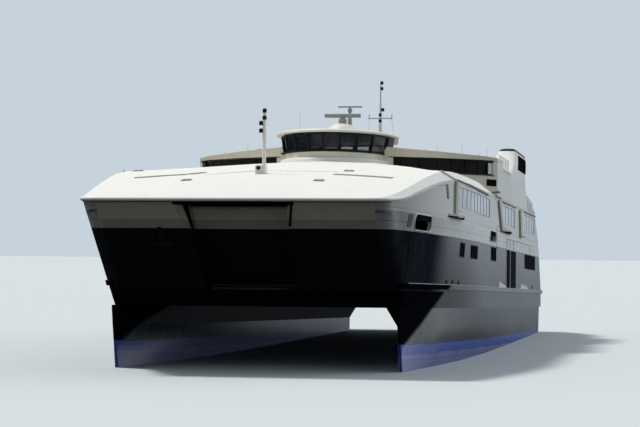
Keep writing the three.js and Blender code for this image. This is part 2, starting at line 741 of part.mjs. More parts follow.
// The lounge roof thins towards the wings and has a lip where it stands above the roof aft of it.
const roofUnderside = loungeRoof - plating;
const roofCentre = 15.8;
const roofBreakHalf = loungeFront[0][1];
const loungeEaves = mirrored(grown(loungeFront, 0.12)).reverse();
const loungeRoofRings = [...loungeEaves].sort((a, b) => a[1] - b[1]).map(([x, y]) => {
  const rise = Math.min(1, (wingHalf - Math.abs(y)) / (wingHalf - roofBreakHalf));
  const top = loungeRoof + (roofCentre - loungeRoof) * rise;
  const corners = [[x, roofUnderside], [x, top], [loungeEndX, top], [loungeEndX, roofUnderside]];
  return corners.map(([cornerX, z]) => point(cornerX, y, z));
});
const roofLip = box(loungeEndX, loungeEndX + 0.2, -11.7, 11.7, aftRoof + gap, loungeRoof - 0.1);
addPart('lounge_roof', loft(loungeRoofRings).add(roofLip).subtract(bridgeClear), white);

// Wheelhouse: its base stands on the cabin's roof and holds its floor
const baseShell = loft([bridgeRing(baseGrow.foot, baseFoot), bridgeRing(baseGrow.sill, sill)]);
const bridgeWell = loft([bridgeRing(-0.35, bridgeFloor), bridgeRing(-0.1, sill + 0.3)]);
addPart('wheelhouse_base', baseShell.subtract(bridgeWell), cream);

const frameFoot = sill + gap;
const frameOuter = loft([bridgeRing(0.1, frameFoot), bridgeRing(leanOut, lintel)]);
const frameInner = loft([bridgeRing(-0.02, frameFoot - 0.01), bridgeRing(leanOut - 0.13, lintel + 0.01)]);
let bridgeFrame = frameOuter.subtract(frameInner);
const middleOutline = bridgeOutline((leanOut + 0.1) / 2);

// A window in the frame: its middle, its direction in plan and its width.
function cutPane(frame, x, y, turn, width) {
  const cutter = new THREE.BoxGeometry(width, 1.2, lintel - sill - 0.28);
  cutter.rotateZ(turn);
  cutter.translate(x, y, (sill + lintel) / 2);
  return frame.subtract(toSolid(cutter));
}

// Windows between the corners of the curved front, apart from its two ends.
for (let i = 1; i < bridgeCorners.length - 2; i += 1) {
  const [x, y] = middleOutline[i];
  const [nextX, nextY] = middleOutline[i + 1];
  const width = Math.hypot(nextX - x, nextY - y) - 0.18;
  const turn = Math.atan2(nextY - y, nextX - x);
  bridgeFrame = cutPane(bridgeFrame, (x + nextX) / 2, (y + nextY) / 2, turn, width);
}
[-2, -0.67, 0.67, 2].forEach((y) => {
  bridgeFrame = cutPane(bridgeFrame, bridgeAft - 0.2, y, Math.PI / 2, 1.1);
});
addPart('wheelhouse_frame', bridgeFrame, black);

const glassOuter = loft([bridgeRing(-0.018, frameFoot + 0.03), bridgeRing(leanOut - 0.14, lintel - 0.03)]);
const glassInner = loft([bridgeRing(-0.063, frameFoot), bridgeRing(leanOut - 0.175, lintel)]);
const backPane = box(bridgeAft - 1, bridgeAft + 0.6, -1.4, 1.4, sill - 1, lintel + 1);
addPart('wheelhouse_glass', glassOuter.subtract(glassInner).subtract(backPane), darkGlass);

const roofFoot = lintel + gap;
// Rings of the roof: how far each lies outside the wheelhouse and its height above the roof's foot.
const roofRings = [
  [leanOut + 0.25, 0],
  [leanOut + 0.35, 0.13],
  [leanOut + 0.05, 0.24],
  [-1.1, 0.36],
  [-2.2, 0.42],
];
const crown = loft(roofRings.map(([grow, rise]) => bridgeRing(grow, roofFoot + rise)));
const moundX = 3.3;
const moundTop = roofFoot + 1.22;

function moundRing(long, wide, z) {
  const count = 20;
  return Array.from({ length: count }, (_, i) => {
    const angle = (2 * Math.PI * i) / count;
    return point(moundX + long * Math.cos(angle), wide * Math.sin(angle), z);
  });
}

const mound = loft([
  moundRing(2.6, 1.4, roofFoot + 0.3),
  moundRing(2.4, 1.2, moundTop - 0.36),
  moundRing(2, 0.9, moundTop - 0.12),
  moundRing(1.75, 0.7, moundTop),
]);
addPart('wheelhouse_roof', crown.add(mound), cream);

// Bridge console and chairs, joined by their plinth

const plinth = bridgeFloor + gap;
const deskTop = 15.15;
const plinthPlan = [[9.6, -1.8], [9.9, 0], [9.6, 1.8], [6.2, 1.8], [6.2, -1.8]];
const deskPlan = [[9.5, -1.7], [9.8, 0], [9.5, 1.7], [8.9, 1.7], [9.1, 0], [8.9, -1.7]];
let desk = slab(plinthPlan, plinth, plinth + 0.2).add(slab(deskPlan, plinth + 0.1, deskTop));
// Each chair is a column, a seat and a back: x from and to, half width, z from and to.
const chair = [
  [7.3, 7.5, 0.1, plinth + 0.1, 14.5],
  [7.05, 7.75, 0.32, 14.45, 14.65],
  [7.0, 7.15, 0.3, 14.6, 15.5],
];
[-0.9, 0.9].forEach((y) => {
  chair.forEach(([x0, x1, half, z0, z1]) => {
    desk = desk.add(box(x0, x1, y - half, y + half, z0, z1));
  });
});
addPart('bridge_console', desk, seat);

// Roofs aft of the lounge, and the wall between the funnels

const aftRoofUnder = aftRoof - plating;
const aftRoofPlan = mirrored([
  [loungeEndX - 0.02, roofHalf],
  [funnelFront + 0.06, roofHalf],
  [funnelFront + 0.06, funnelInside - 0.05],
  [funnelAft + 0.3, funnelInside - 0.05],
]);
addPart('aft_roof', slab(aftRoofPlan, aftRoofUnder, aftRoof), white);

const casingWalls = mirrored([[funnelFront + 0.3, 9.3], [funnelAft + 0.35, 9.3]]);
const casingInside = mirrored([[funnelFront + 1, 9.05], [funnelAft + 0.6, 9.05]]);
const casing = slab(casingWalls, wallFoot, aftRoofUnder - gap)
  .subtract(slab(casingInside, wallFoot - 1, aftRoofUnder + 1))
  .subtract(box(funnelFront - 1, funnelFront + 1, -8.8, 8.8, wallFoot - 1, aftRoofUnder + 1))
  .subtract(box(funnelAft - 1, funnelAft + 2, -0.9, 0.9, wallFoot - 1, 14.35));
addPart('upper_aft_wall', casing, white);

// Funnels, swept aft as they rise

// Each level: height, x of the front and aft edges, inner and outer y, rounding of the corners.
const funnelLevels = [
  { z: wallFoot, front: funnelFront, aft: funnelAft, inner: funnelInside, outer: 11.97, round: 0.25 },
  { z: 14.6, front: -12.5, aft: -25.9, inner: 9.75, outer: 11.97, round: 0.3 },
  { z: 15.6, front: -14.2, aft: -25.7, inner: 9.9, outer: 11.95, round: 0.45 },
  { z: 16.2, front: -15.4, aft: -27.2, inner: 10.05, outer: 11.9, round: 0.55 },
  { z: 16.9, front: -16.6, aft: -28, inner: 10.25, outer: 11.8, round: 0.65 },
  { z: 17.4, front: -17.4, aft: -27.7, inner: 10.45, outer: 11.7, round: 0.6 },
];

function funnelRing({ z, front: ahead, aft, inner, outer, round }, sign) {
  const corners = [
    { x: ahead - round, y: outer - round, from: 0 },
    { x: aft + round, y: outer - round, from: 1 },
    { x: aft + round, y: inner + round, from: 2 },
    { x: ahead - round, y: inner + round, from: 3 },
  ];
  return corners.flatMap(({ x, y, from }) => [0, 0.5, 1].map((step) => {
    const angle = ((from + step) * Math.PI) / 2;
    return point(x + round * Math.cos(angle), sign * (y + round * Math.sin(angle)), z);
  }));
}

const mouth = { z: 17, front: -18.2, aft: -27, inner: 10.65, outer: 11.5, round: 0.4 };

sides.forEach(({ side, sign }) => {
  const tower = loft(funnelLevels.map((level) => funnelRing(level, sign)));
  const well = loft([funnelRing(mouth, sign), funnelRing({ ...mouth, z: mouth.z + 1 }, sign)]);
  addPart(`funnel_${side}`, tower.subtract(well), white);
});

// Masts and radars

const foreBox = { half: 0.33, y: -0.19, top: 12.7 };
const foreFoot = deckHeight(foremastX + foreBox.half, foreBox.half - foreBox.y) - 0.03;
const boxEnds = [foremastX - foreBox.half, foremastX + foreBox.half];
const boxSides = [foreBox.y - foreBox.half, foreBox.y + foreBox.half];
const onForemast = (y, z) => point(foremastX, y, z);
let foremast = box(...boxEnds, ...boxSides, foreFoot, foreBox.top);
foremast = foremast.add(bar(onForemast(0, foreBox.top - 0.05), onForemast(0, foremastTop), 0.13, 0.09, 10));
// Lamps on the foremast: height and offset to the side.
const foreLamps = [[16.22, 0], [15.76, 0], [15.4, -0.22], [14.9, -0.22]];
foreLamps.forEach(([z, y]) => {
  foremast = foremast.add(box(foremastX - 0.05, foremastX + 0.05, y - 0.02, 0.02, z - 0.04, z));
  foremast = foremast.add(bar(onForemast(y, z - 0.02), onForemast(y, z + 0.26), 0.13, 0.13, 10));
});
addPart('foremast', foremast.subtract(deckShell.translate([0, 0, gap])), white);

const mastFoot = aftRoof + gap;
const mastHead = yardHeight + 0.45;
const onMast = (y, z) => point(mainMastX, y, z);
let mainMast = bar(onMast(0, mastFoot), onMast(0, mastHead), 0.16, 0.1, 12);
mainMast = mainMast.add(bar(onMast(0, mastHead - 0.1), onMast(0, mainMastTop), 0.08, 0.05, 10));
const yardEdge = 0.05;
const yardEnds = [mainMastX - 0.06, mainMastX + 0.06];
mainMast = mainMast.add(box(...yardEnds, -yardHalf, yardHalf, yardHeight - yardEdge, yardHeight + yardEdge));
[-1, 1].forEach((s) => {
  const y = s * (yardHalf - 0.03);
  mainMast = mainMast.add(bar(onMast(y, yardHeight - 0.1), onMast(y, yardHeight + 0.35), 0.05, 0.05, 8));
});
// Lamps on the main mast: height and offset to the side.
const mastLamps = [[19.6, -0.02], [20.13, -0.02], [20.58, 0.2], [22.46, 0.1], [22.96, 0.1]];
mastLamps.forEach(([z, y]) => {
  mainMast = mainMast.add(bar(onMast(y, z), onMast(y, z + 0.28), 0.13, 0.13, 10));
  mainMast = mainMast.add(box(mainMastX - 0.04, mainMastX + 0.04, -0.02, y + 0.02, z, z + 0.06));
});
const mastStep = 0.3;
const stepEnds = [mainMastX - mastStep, mainMastX + mastStep];
mainMast = mainMast.add(box(...stepEnds, -mastStep, mastStep, mastFoot, aftRoof + 0.12));
addPart('main_mast', mainMast, white);

// Each radar: x, y, height of the scanner's underside, its length, depth and height, radius of the post.
const radarFoot = moundTop + gap;
const radars = [
  { name: 'lower', x: 4.3, y: 0.1, under: 18.34, length: 2.9, deep: 0.3, high: 0.32, post: 0.26 },
  { name: 'upper', x: 2.4, y: 0.35, under: 19.31, length: 1.95, deep: 0.16, high: 0.12, post: 0.1 },
];
radars.forEach(({ name, x, y, under, length, deep, high, post }) => {
  const at = (z) => point(x, y, z);
  const motor = under - 0.1;
  let pedestal = bar(at(radarFoot), at(motor - 0.15), post + 0.1, post, 12);
  pedestal = pedestal.add(bar(at(motor - 0.25), at(motor), post + 0.08, post + 0.08, 12));
  addPart(`radar_post_${name}`, pedestal, white);
  const hub = bar(at(motor + gap), at(under + 0.05), post * 0.7, post * 0.7, 12);
  const scanner = box(x - deep / 2, x + deep / 2, y - length / 2, y + length / 2, under, under + high);
  addPart(`radar_scanner_${name}`, scanner.add(hub), white);
});

// Anchor, stowed in its pocket on the starboard bow

const anchorY = -5.1;
const anchorZ = 7.6;
const anchorX = (z) => frontX(z) + gap;
// Each plate of the anchor: low and high edge, its sides, and its thickness.
const anchorPlates = [
  { name: 'crown', low: -0.4, high: -0.1, from: -0.75, to: 0.75, thick: 0.25 },
  { name: 'shank', low: -0.3, high: 0.75, from: -0.12, to: 0.12, thick: 0.2 },
  { name: 'fluke', low: -0.3, high: 0.45, from: -0.75, to: -0.47, thick: 0.2 },
  { name: 'fluke', low: -0.3, high: 0.45, from: 0.47, to: 0.75, thick: 0.2 },
];

function anchorPlate({ low, high, from, to, thick }) {
  const z0 = anchorZ + low;
  const z1 = anchorZ + high;
  const back = [[anchorX(z0), z0], [anchorX(z1), z1]];
  const face = [[anchorX(z1) + thick, z1], [anchorX(z0) + thick, z0]];
  return across([...back, ...face], anchorY + from, anchorY + to);
}

addPart('anchor', anchorPlates.map(anchorPlate).reduce((a, b) => a.add(b)), grey);

// Waterjets: two in each hull, each with a steering nozzle and a reversing bucket

const jetHeight = 0.1;
const jetSpacing = 1.15;
const pivotX = transomX - 0.8;
const bucketX = transomX - 1.15;
const nozzleAft = transomX - 1.7;
const housingAft = transomX - 0.35;
const housingRadius = 0.66;
const boreRadius = 0.38;
const nozzleRadius = 0.5;
const cheekInner = 0.56;
const cheekOuter = 0.63;
const bucketInner = 0.8;
const bucketOuter = 0.88;

const onJet = (x, y) => point(x, y, jetHeight);
const rod = (x0, x1, y, radius) => bar(onJet(x0, y), onJet(x1, y), radius, radius, 24);

// A sector of a disc across the ship, from one angle to another above the line aft.
function sector(radius, fromDegrees, toDegrees, y0, y1) {
  const steps = 6;
  const arc = [];
  for (let i = 0; i <= steps; i += 1) {
    const angle = THREE.MathUtils.degToRad(fromDegrees + ((toDegrees - fromDegrees) * i) / steps);
    arc.push([bucketX - radius * Math.cos(angle), jetHeight + radius * Math.sin(angle)]);
  }
  return across([[bucketX, jetHeight], ...arc], y0, y1);
}

sides.forEach(({ side, sign }) => {
  const flangeX = transomX - gap;
  const flangeHalf = 2.2;
  const inboard = sign * (hullCentre - flangeHalf);
  const outboard = sign * (hullCentre + flangeHalf);
  let frame = box(flangeX - 0.12, flangeX, inboard, outboard, -0.75, 1);
  const jets = [
    { place: 'inner', y: sign * (hullCentre - jetSpacing) },
    { place: 'outer', y: sign * (hullCentre + jetSpacing) },
  ];
  jets.forEach(({ y }) => {
    frame = frame.add(rod(flangeX, housingAft, y, housingRadius));
    [-1, 1].forEach((s) => {
      const edges = [jetHeight + s * 0.58, jetHeight + s * 0.66];
      frame = frame.add(box(housingAft + 0.1, pivotX - 0.12, y - 0.15, y + 0.15, ...edges));
    });
  });
  jets.forEach(({ y }) => {
    frame = frame.subtract(rod(flangeX + 1, housingAft - 1, y, boreRadius));
  });
  addPart(`jet_frame_${side}`, frame, steel);

  jets.forEach(({ place, y }) => {
    const shaft = rod(pivotX + 0.1, nozzleAft, y, nozzleRadius);
    let nozzle = shaft.subtract(rod(pivotX + 1.1, nozzleAft - 1, y, boreRadius));
    [-1, 1].forEach((s) => {
      const root = jetHeight + s * 0.45;
      nozzle = nozzle.add(bar(point(pivotX, y, root), point(pivotX, y, jetHeight + s * (0.58 - gap)), 0.1));
      const trunnion = [onJet(bucketX, y + s * 0.44), onJet(bucketX, y + s * (cheekInner - gap))];
      nozzle = nozzle.add(bar(...trunnion, 0.13));
    });
    addPart(`jet_nozzle_${place}_${side}`, nozzle, steel);

    const shell = sector(bucketOuter, 38, 112, y - cheekOuter, y + cheekOuter);
    const hollow = sector(bucketInner, 20, 130, y - cheekOuter - 1, y + cheekOuter + 1);
    let bucket = shell.subtract(hollow);
    [-1, 1].forEach((s) => {
      const y0 = y + s * cheekInner;
      const y1 = y + s * cheekOuter;
      const hub = bar(point(bucketX, y0, jetHeight), point(bucketX, y1, jetHeight), 0.18, 0.18, 16);
      bucket = bucket.add(sector(bucketOuter, 38, 112, y0, y1)).add(hub);
    });
    addPart(`jet_bucket_${place}_${side}`, bucket, steel);
  });
});

export default ship;
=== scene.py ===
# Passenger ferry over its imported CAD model. Sizes are metres on the full-size ship, the model is a tenth.
import math
import bmesh
import bpy
from mathutils import Matrix, Vector


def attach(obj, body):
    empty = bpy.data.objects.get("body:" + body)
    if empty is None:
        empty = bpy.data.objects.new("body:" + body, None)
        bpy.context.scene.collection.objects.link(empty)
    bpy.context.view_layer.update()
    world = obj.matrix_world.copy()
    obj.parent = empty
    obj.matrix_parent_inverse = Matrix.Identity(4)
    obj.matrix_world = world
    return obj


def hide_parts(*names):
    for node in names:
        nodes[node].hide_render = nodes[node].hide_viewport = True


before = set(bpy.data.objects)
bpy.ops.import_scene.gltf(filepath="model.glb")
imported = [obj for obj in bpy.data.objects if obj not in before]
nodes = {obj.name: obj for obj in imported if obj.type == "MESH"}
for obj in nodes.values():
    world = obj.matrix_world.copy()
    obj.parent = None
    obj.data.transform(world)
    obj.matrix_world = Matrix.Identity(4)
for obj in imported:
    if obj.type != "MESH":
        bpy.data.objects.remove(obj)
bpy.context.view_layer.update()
scene = bpy.context.scene
model = 0.1    # model metres for one metre of the real ship
bowRake = 1.18    # metres aft for each metre down the bow
print("frame loaded:", len(nodes), "nodes")


def newObject(name, data):
    obj = bpy.data.objects.new(name, data)
    scene.collection.objects.link(obj)
    return obj


# camera

shot = {
    "place": (17.3717, 2.9774, 0.3975),
    "yaw": 0.18343,      # turned to port, looking aft
    "pitch": 0.0391,
    "roll": 0.0110,
    "pixels": 2169.3,    # focal length in pixels of the 640 wide picture
}


def addCamera(s):
    forward = Vector((-math.cos(s["yaw"]) * math.cos(s["pitch"]),
                      -math.sin(s["yaw"]) * math.cos(s["pitch"]), math.sin(s["pitch"])))
    right = forward.cross(Vector((0, 0, 1))).normalized()
    up = right.cross(forward)
    right, up = (right * math.cos(s["roll"]) + up * math.sin(s["roll"]),
                 up * math.cos(s["roll"]) - right * math.sin(s["roll"]))
    data = bpy.data.cameras.new("camera")
    data.sensor_width = 36
    data.lens = s["pixels"] / 640 * 36
    data.clip_start = 0.1
    data.clip_end = 400
    camera = newObject("camera", data)
    turn = Matrix((right, up, -forward)).transposed().to_4x4()
    camera.matrix_world = Matrix.Translation(s["place"]) @ turn
    scene.camera = camera


addCamera(shot)

# shader tools


# A socket gets a link, a colour or a number.
def feed(tree, socket, value):
    if isinstance(value, bpy.types.NodeSocket):
        tree.links.new(value, socket)
    elif isinstance(value, tuple):
        socket.default_value = (*value, 1)
    else:
        socket.default_value = value


def newMaterial(name):
    mat = bpy.data.materials.new(name)
    mat.use_nodes = True
    return mat, mat.node_tree, mat.node_tree.nodes["Principled BSDF"].inputs


def maths(tree, kind, *values):
    node = tree.nodes.new("ShaderNodeMath")
    node.operation = kind
    for socket, value in zip(node.inputs, values):
        feed(tree, socket, value)
    return node.outputs[0]


def times(tree, a, b):
    return maths(tree, "MULTIPLY", a, b)


def noise(tree, vector, scale, detail=3, rough=0.55):
    node = tree.nodes.new("ShaderNodeTexNoise")
    for label, value in (("Vector", vector), ("Scale", scale), ("Detail", detail), ("Roughness", rough)):
        feed(tree, node.inputs[label], value)
    return node.outputs["Fac"]


def scaled(tree, vector, size):
    node = tree.nodes.new("ShaderNodeMapping")
    node.inputs["Scale"].default_value = size
    feed(tree, node.inputs["Vector"], vector)
    return node.outputs[0]


def spread(tree, value, low, high, first=0.0, last=1.0, curve="SMOOTHSTEP"):
    node = tree.nodes.new("ShaderNodeMapRange")
    node.interpolation_type = curve
    feed(tree, node.inputs["Value"], value)
    for label, number in (("From Min", low), ("From Max", high), ("To Min", first), ("To Max", last)):
        node.inputs[label].default_value = number
    return node.outputs["Result"]


def splitVector(tree, vector):
    node = tree.nodes.new("ShaderNodeSeparateXYZ")
    feed(tree, node.inputs[0], vector)
    return node.outputs


def mixColour(tree, share, a, b):
    node = tree.nodes.new("ShaderNodeMix")
    node.data_type = "RGBA"
    for place, value in ((0, share), (6, a), (7, b)):
        feed(tree, node.inputs[place], value)
    return node.outputs[2]


def mixShader(tree, share, a, b):
    node = tree.nodes.new("ShaderNodeMixShader")
    for socket, value in zip(node.inputs, (share, a, b)):
        feed(tree, socket, value)
    return node.outputs[0]


# light and floor

light = {
    "sky": (0.60, 0.68, 0.76),
    "skyShown": 0.95,
    "fillColour": (0.86, 0.93, 1.0),
    "skyFill": 0.42,
    "below": 0.10,    # share of the fill that comes up from under the horizon
    "fillEdge": (-0.06, 0.03),    # heights between which the fill grows
    "mirror": (0.03, 1.0),    # what shiny surfaces see under and over the horizon
    "mirrorEdge": (-0.04, 0.05),
    "lamps": {    # strength, direction that it comes from, width in degrees, colour
        "key": (2.65, (-0.05, -0.45, 0.88), 9, (1.0, 0.97, 0.91)),
        "portFill": (0.95, (-0.6, 0.75, 0.25), 60, (0.93, 0.97, 1.0)),
    },
}


def addBackdrop(tree, colour, strength):
    node = tree.nodes.new("ShaderNodeBackground")
    feed(tree, node.inputs["Color"], colour)
    feed(tree, node.inputs["Strength"], strength)
    return node.outputs[0]


def addWorld(s):
    world = bpy.data.worlds.new("studio")
    scene.world = world
    world.use_nodes = True
    tree = world.node_tree
    tree.nodes.clear()
    height = splitVector(tree, tree.nodes.new("ShaderNodeTexCoord").outputs["Generated"])["Z"]
    fill = spread(tree, height, *s["fillEdge"], s["skyFill"] * s["below"], s["skyFill"], "LINEAR")
    mirror = spread(tree, height, *s["mirrorEdge"], *s["mirror"], "LINEAR")
    ray = tree.nodes.new("ShaderNodeLightPath").outputs
    sky = addBackdrop(tree, s["sky"], s["skyShown"])
    sky = mixShader(tree, ray["Is Diffuse Ray"], sky, addBackdrop(tree, s["fillColour"], fill))
    sky = mixShader(tree, ray["Is Glossy Ray"], sky, addBackdrop(tree, s["sky"], mirror))
    feed(tree, tree.nodes.new("ShaderNodeOutputWorld").inputs["Surface"], sky)


def addLights(s):
    for name, (strength, source, wide, colour) in s["lamps"].items():
        sun = bpy.data.lights.new(name, "SUN")
        sun.energy = strength
        sun.angle = math.radians(wide)
        sun.color = colour
        newObject(name, sun).rotation_euler = Vector(source).to_track_quat("Z", "Y").to_euler()


addWorld(light)
addLights(light)
scene.view_settings.view_transform = "Standard"

# trim is the slope of the waterline along the ship, which lies deeper aft
floor = {"size": 700, "trim": 0.0208, "colour": (0.56, 0.60, 0.62), "rough": 0.9}


def addFloor(s):
    bm = bmesh.new()
    bmesh.ops.create_grid(bm, x_segments=8, y_segments=8, size=s["size"] / 2)
    mesh = bpy.data.meshes.new("floor")
    bm.to_mesh(mesh)
    bm.free()
    obj = newObject("floor", mesh)
    obj.rotation_euler = (0, math.atan(s["trim"]), 0)
    mat, tree, shader = newMaterial("floor")
    feed(tree, shader["Base Color"], s["colour"])
    feed(tree, shader["Roughness"], s["rough"])
    mesh.materials.append(mat)
    obj.visible_diffuse = False
    obj.visible_glossy = False


addFloor(floor)
print("stage set")

# shader groups that several finishes share


def newGroup(name, numbers, results):
    tree = bpy.data.node_groups.new(name, "ShaderNodeTree")
    tree.interface.new_socket("Vector", in_out="INPUT", socket_type="NodeSocketVector")
    for label, value in numbers.items():
        socket = tree.interface.new_socket(label, in_out="INPUT", socket_type="NodeSocketFloat")
        socket.default_value = value
    for label in results:
        tree.interface.new_socket(label, in_out="OUTPUT", socket_type="NodeSocketFloat")
    return tree, tree.nodes.new("NodeGroupInput").outputs, tree.nodes.new("NodeGroupOutput").inputs


# Rain leaves thin uneven lines down the plating, thicker in some places than in others.
def makeStreaks():
    tree, given, result = newGroup("rainStreaks", {"Amount": 0.4}, ("Mask", "Height"))
    fine = noise(tree, scaled(tree, given["Vector"], (34, 34, 0.9)), 1.0, 2)
    wide = noise(tree, scaled(tree, given["Vector"], (6, 6, 0.35)), 1.0)
    patch = noise(tree, scaled(tree, given["Vector"], (1.1, 1.1, 1.6)), 1.0)
    lines = times(tree, spread(tree, fine, 0.50, 0.74), spread(tree, patch, 0.38, 0.66))
    broad = times(tree, spread(tree, wide, 0.52, 0.80), 0.55)
    feed(tree, result["Mask"], times(tree, maths(tree, "MAXIMUM", lines, broad), given["Amount"]))
    feed(tree, result["Height"], fine)
    return tree


# Welded plates: thin seams in two directions, with each plate a little hollow between its frames.
def makeSeams():
    numbers = {"Length": 0.6, "Height": 0.2, "Width": 0.003}
    tree, given, result = newGroup("plateSeams", numbers, ("Mask", "Height"))
    brick = tree.nodes.new("ShaderNodeTexBrick")
    brick.offset = 0.5
    brick.inputs["Scale"].default_value = 1.0
    brick.inputs["Mortar Smooth"].default_value = 0.6
    for label, source in (("Vector", "Vector"), ("Brick Width", "Length"), ("Row Height", "Height"),
                          ("Mortar Size", "Width")):
        feed(tree, brick.inputs[label], given[source])
    wave = noise(tree, scaled(tree, given["Vector"], (9, 5, 9)), 1.0, 1)
    feed(tree, result["Mask"], brick.outputs["Fac"])
    feed(tree, result["Height"], maths(tree, "SUBTRACT", times(tree, wave, 0.9), brick.outputs["Fac"]))
    return tree


# Uneven fading, and dirt that settles in soft patches.
def makeWeather():
    tree, given, result = newGroup("seaWeather", {"Scale": 3.0}, ("Fade", "Dirt", "Grain"))
    fade = noise(tree, given["Vector"], given["Scale"], 4, 0.6)
    dirt = noise(tree, given["Vector"], times(tree, given["Scale"], 3.3), 6, 0.62)
    feed(tree, result["Fade"], spread(tree, fade, 0.3, 0.7))
    feed(tree, result["Dirt"], spread(tree, dirt, 0.52, 0.78))
    feed(tree, result["Grain"], noise(tree, given["Vector"], 420.0, 2, 0.5))
    return tree


groups = {"streaks": makeStreaks(), "seams": makeSeams(), "weather": makeWeather()}


def useGroup(tree, key, vector, **values):
    node = tree.nodes.new("ShaderNodeGroup")
    node.node_tree = groups[key]
    feed(tree, node.inputs["Vector"], vector)
    for label, value in values.items():
        node.inputs[label].default_value = value
    return node.outputs


# Goes from the first value to the last between two places along the ship, on lines with a slope.
def alongShip(tree, at, slope, start, end, first=0.0, last=1.0):
    lean = maths(tree, "MULTIPLY_ADD", at["Z"], slope, at["X"])
    return spread(tree, lean, start * model, end * model, first, last)


# What a paint has unless its own look says otherwise.
usual = {"metal": 0.0, "coat": 0.0, "shine": 0.5, "scale": 3.0, "bands": (), "edge": 0.012, "ragged": 0.0,
         "faded": (0.5, 0.5, 0.48), "streaks": 0.0, "seams": 0.0, "seam": (0.2, 0.2, 0.2), "across": "Z",
         "hollow": 0.0025, "dirt": 0.15, "soil": (0.22, 0.20, 0.17), "grain": 0.0004, "runs": 0.0006,
         "rougher": 0.2, "cornerShadeShare": 0.55, "coatRough": 0.25}


# Ship's paint. Bands are colours above each height, from the lowest up. The plates run along the ship.
# Forward is painted shade, a colour that darkens towards the bow: a slope, x of both ends of the change,
# colour and share.
# Gloss is a coat that thins out towards the bow: a slope and x of both ends.
def paint(name, look):
    look = {**usual, **look}
    mat, tree, shader = newMaterial(name)
    for label, key in (("Metallic", "metal"), ("Coat Weight", "coat"), ("Specular IOR Level", "shine")):
        shader[label].default_value = look[key]
    place = tree.nodes.new("ShaderNodeTexCoord").outputs["Object"]
    at = splitVector(tree, place)
    wear = useGroup(tree, "weather", place, Scale=look["scale"])
    colour = look["colour"]
    edge = look["edge"] * model
    for height, shade in look["bands"]:
        ragged = maths(tree, "MULTIPLY_ADD", wear["Fade"], look["ragged"], at["Z"])
        above = spread(tree, ragged, height * model - edge, height * model + edge)
        colour = mixColour(tree, above, colour, shade)
    colour = mixColour(tree, times(tree, wear["Fade"], look["fade"]), colour, look["faded"])
    heights = []
    if look["streaks"]:
        runs = useGroup(tree, "streaks", place, Amount=look["streaks"])
        colour = mixColour(tree, runs["Mask"], colour, look["streak"])
        heights.append((runs["Height"], look["runs"]))
    if look["seams"]:
        flat = tree.nodes.new("ShaderNodeCombineXYZ")
        feed(tree, flat.inputs[0], at["X"])
        feed(tree, flat.inputs[1], at[look["across"]])
        long, high = look["plate"]
        seam = useGroup(tree, "seams", flat.outputs[0], Length=long, Height=high)
        colour = mixColour(tree, times(tree, seam["Mask"], look["seams"]), colour, look["seam"])
        heights.append((seam["Height"], look["hollow"]))
    colour = mixColour(tree, times(tree, wear["Dirt"], look["dirt"]), colour, look["soil"])
    # painted shade: the colour darkens towards the bow, which lies in shade
    if "forward" in look:
        *span, shade, share = look["forward"]
        paintedShade = alongShip(tree, at, *span)
        # the painted shade starts above this height
        if "forwardFoot" in look:
            foot = look["forwardFoot"] * model
            paintedShade = times(tree, paintedShade, spread(tree, at["Z"], foot - 0.002, foot + 0.002))
        # the painted shade is lighter where the side turns into the raked front
        if "corner" in look:    # where the side turns into the raked front
            turn = alongShip(tree, at, -bowRake, *look["corner"], 1.0, look["cornerShadeShare"])
            paintedShade = times(tree, paintedShade, turn)
        colour = mixColour(tree, times(tree, paintedShade, share), colour, shade)
    feed(tree, shader["Base Color"], colour)
    rougher = min(1.0, look["rough"] + look["rougher"])
    feed(tree, shader["Roughness"], spread(tree, wear["Dirt"], 0, 1, look["rough"], rougher))
    if "gloss" in look:
        feed(tree, shader["Coat Weight"], alongShip(tree, at, *look["gloss"], 1.0, 0.0))
        shader["Coat Roughness"].default_value = look["coatRough"]
    heights.append((wear["Grain"], look["grain"]))
    normal = None
    for height, size in heights:
        bump = tree.nodes.new("ShaderNodeBump")
        bump.inputs["Strength"].default_value = 1.0
        bump.inputs["Distance"].default_value = size
        feed(tree, bump.inputs["Height"], height)
        if normal is not None:
            feed(tree, bump.inputs["Normal"], normal)
        normal = bump.outputs[0]
    feed(tree, shader["Normal"], normal)
    return mat


plating = {"colour": (0.76, 0.77, 0.74), "rough": 0.42, "streaks": 0.22, "streak": (0.42, 0.42, 0.38),
           "seams": 0.16, "seam": (0.5, 0.5, 0.48), "plate": (0.55, 0.24), "fade": 0.10,
           "faded": (0.62, 0.63, 0.60), "dirt": 0.07, "hollow": 0.0015}
# painted shade at the bow: forward of these lines the hull's colour turns near black and its coat thins out
bowShadeEnd = (2.6, 36.9, 38.2)    # slope and x of both ends of the change to the bow's black
greySide = {"streaks": 0.5, "streak": (0.20, 0.23, 0.24), "fade": 0.22, "faded": (0.15, 0.18, 0.21),
            "soil": (0.10, 0.11, 0.11), "shine": 0.0, "gloss": bowShadeEnd,
            "forward": (*bowShadeEnd, (0.004, 0.005, 0.008), 1.0)}

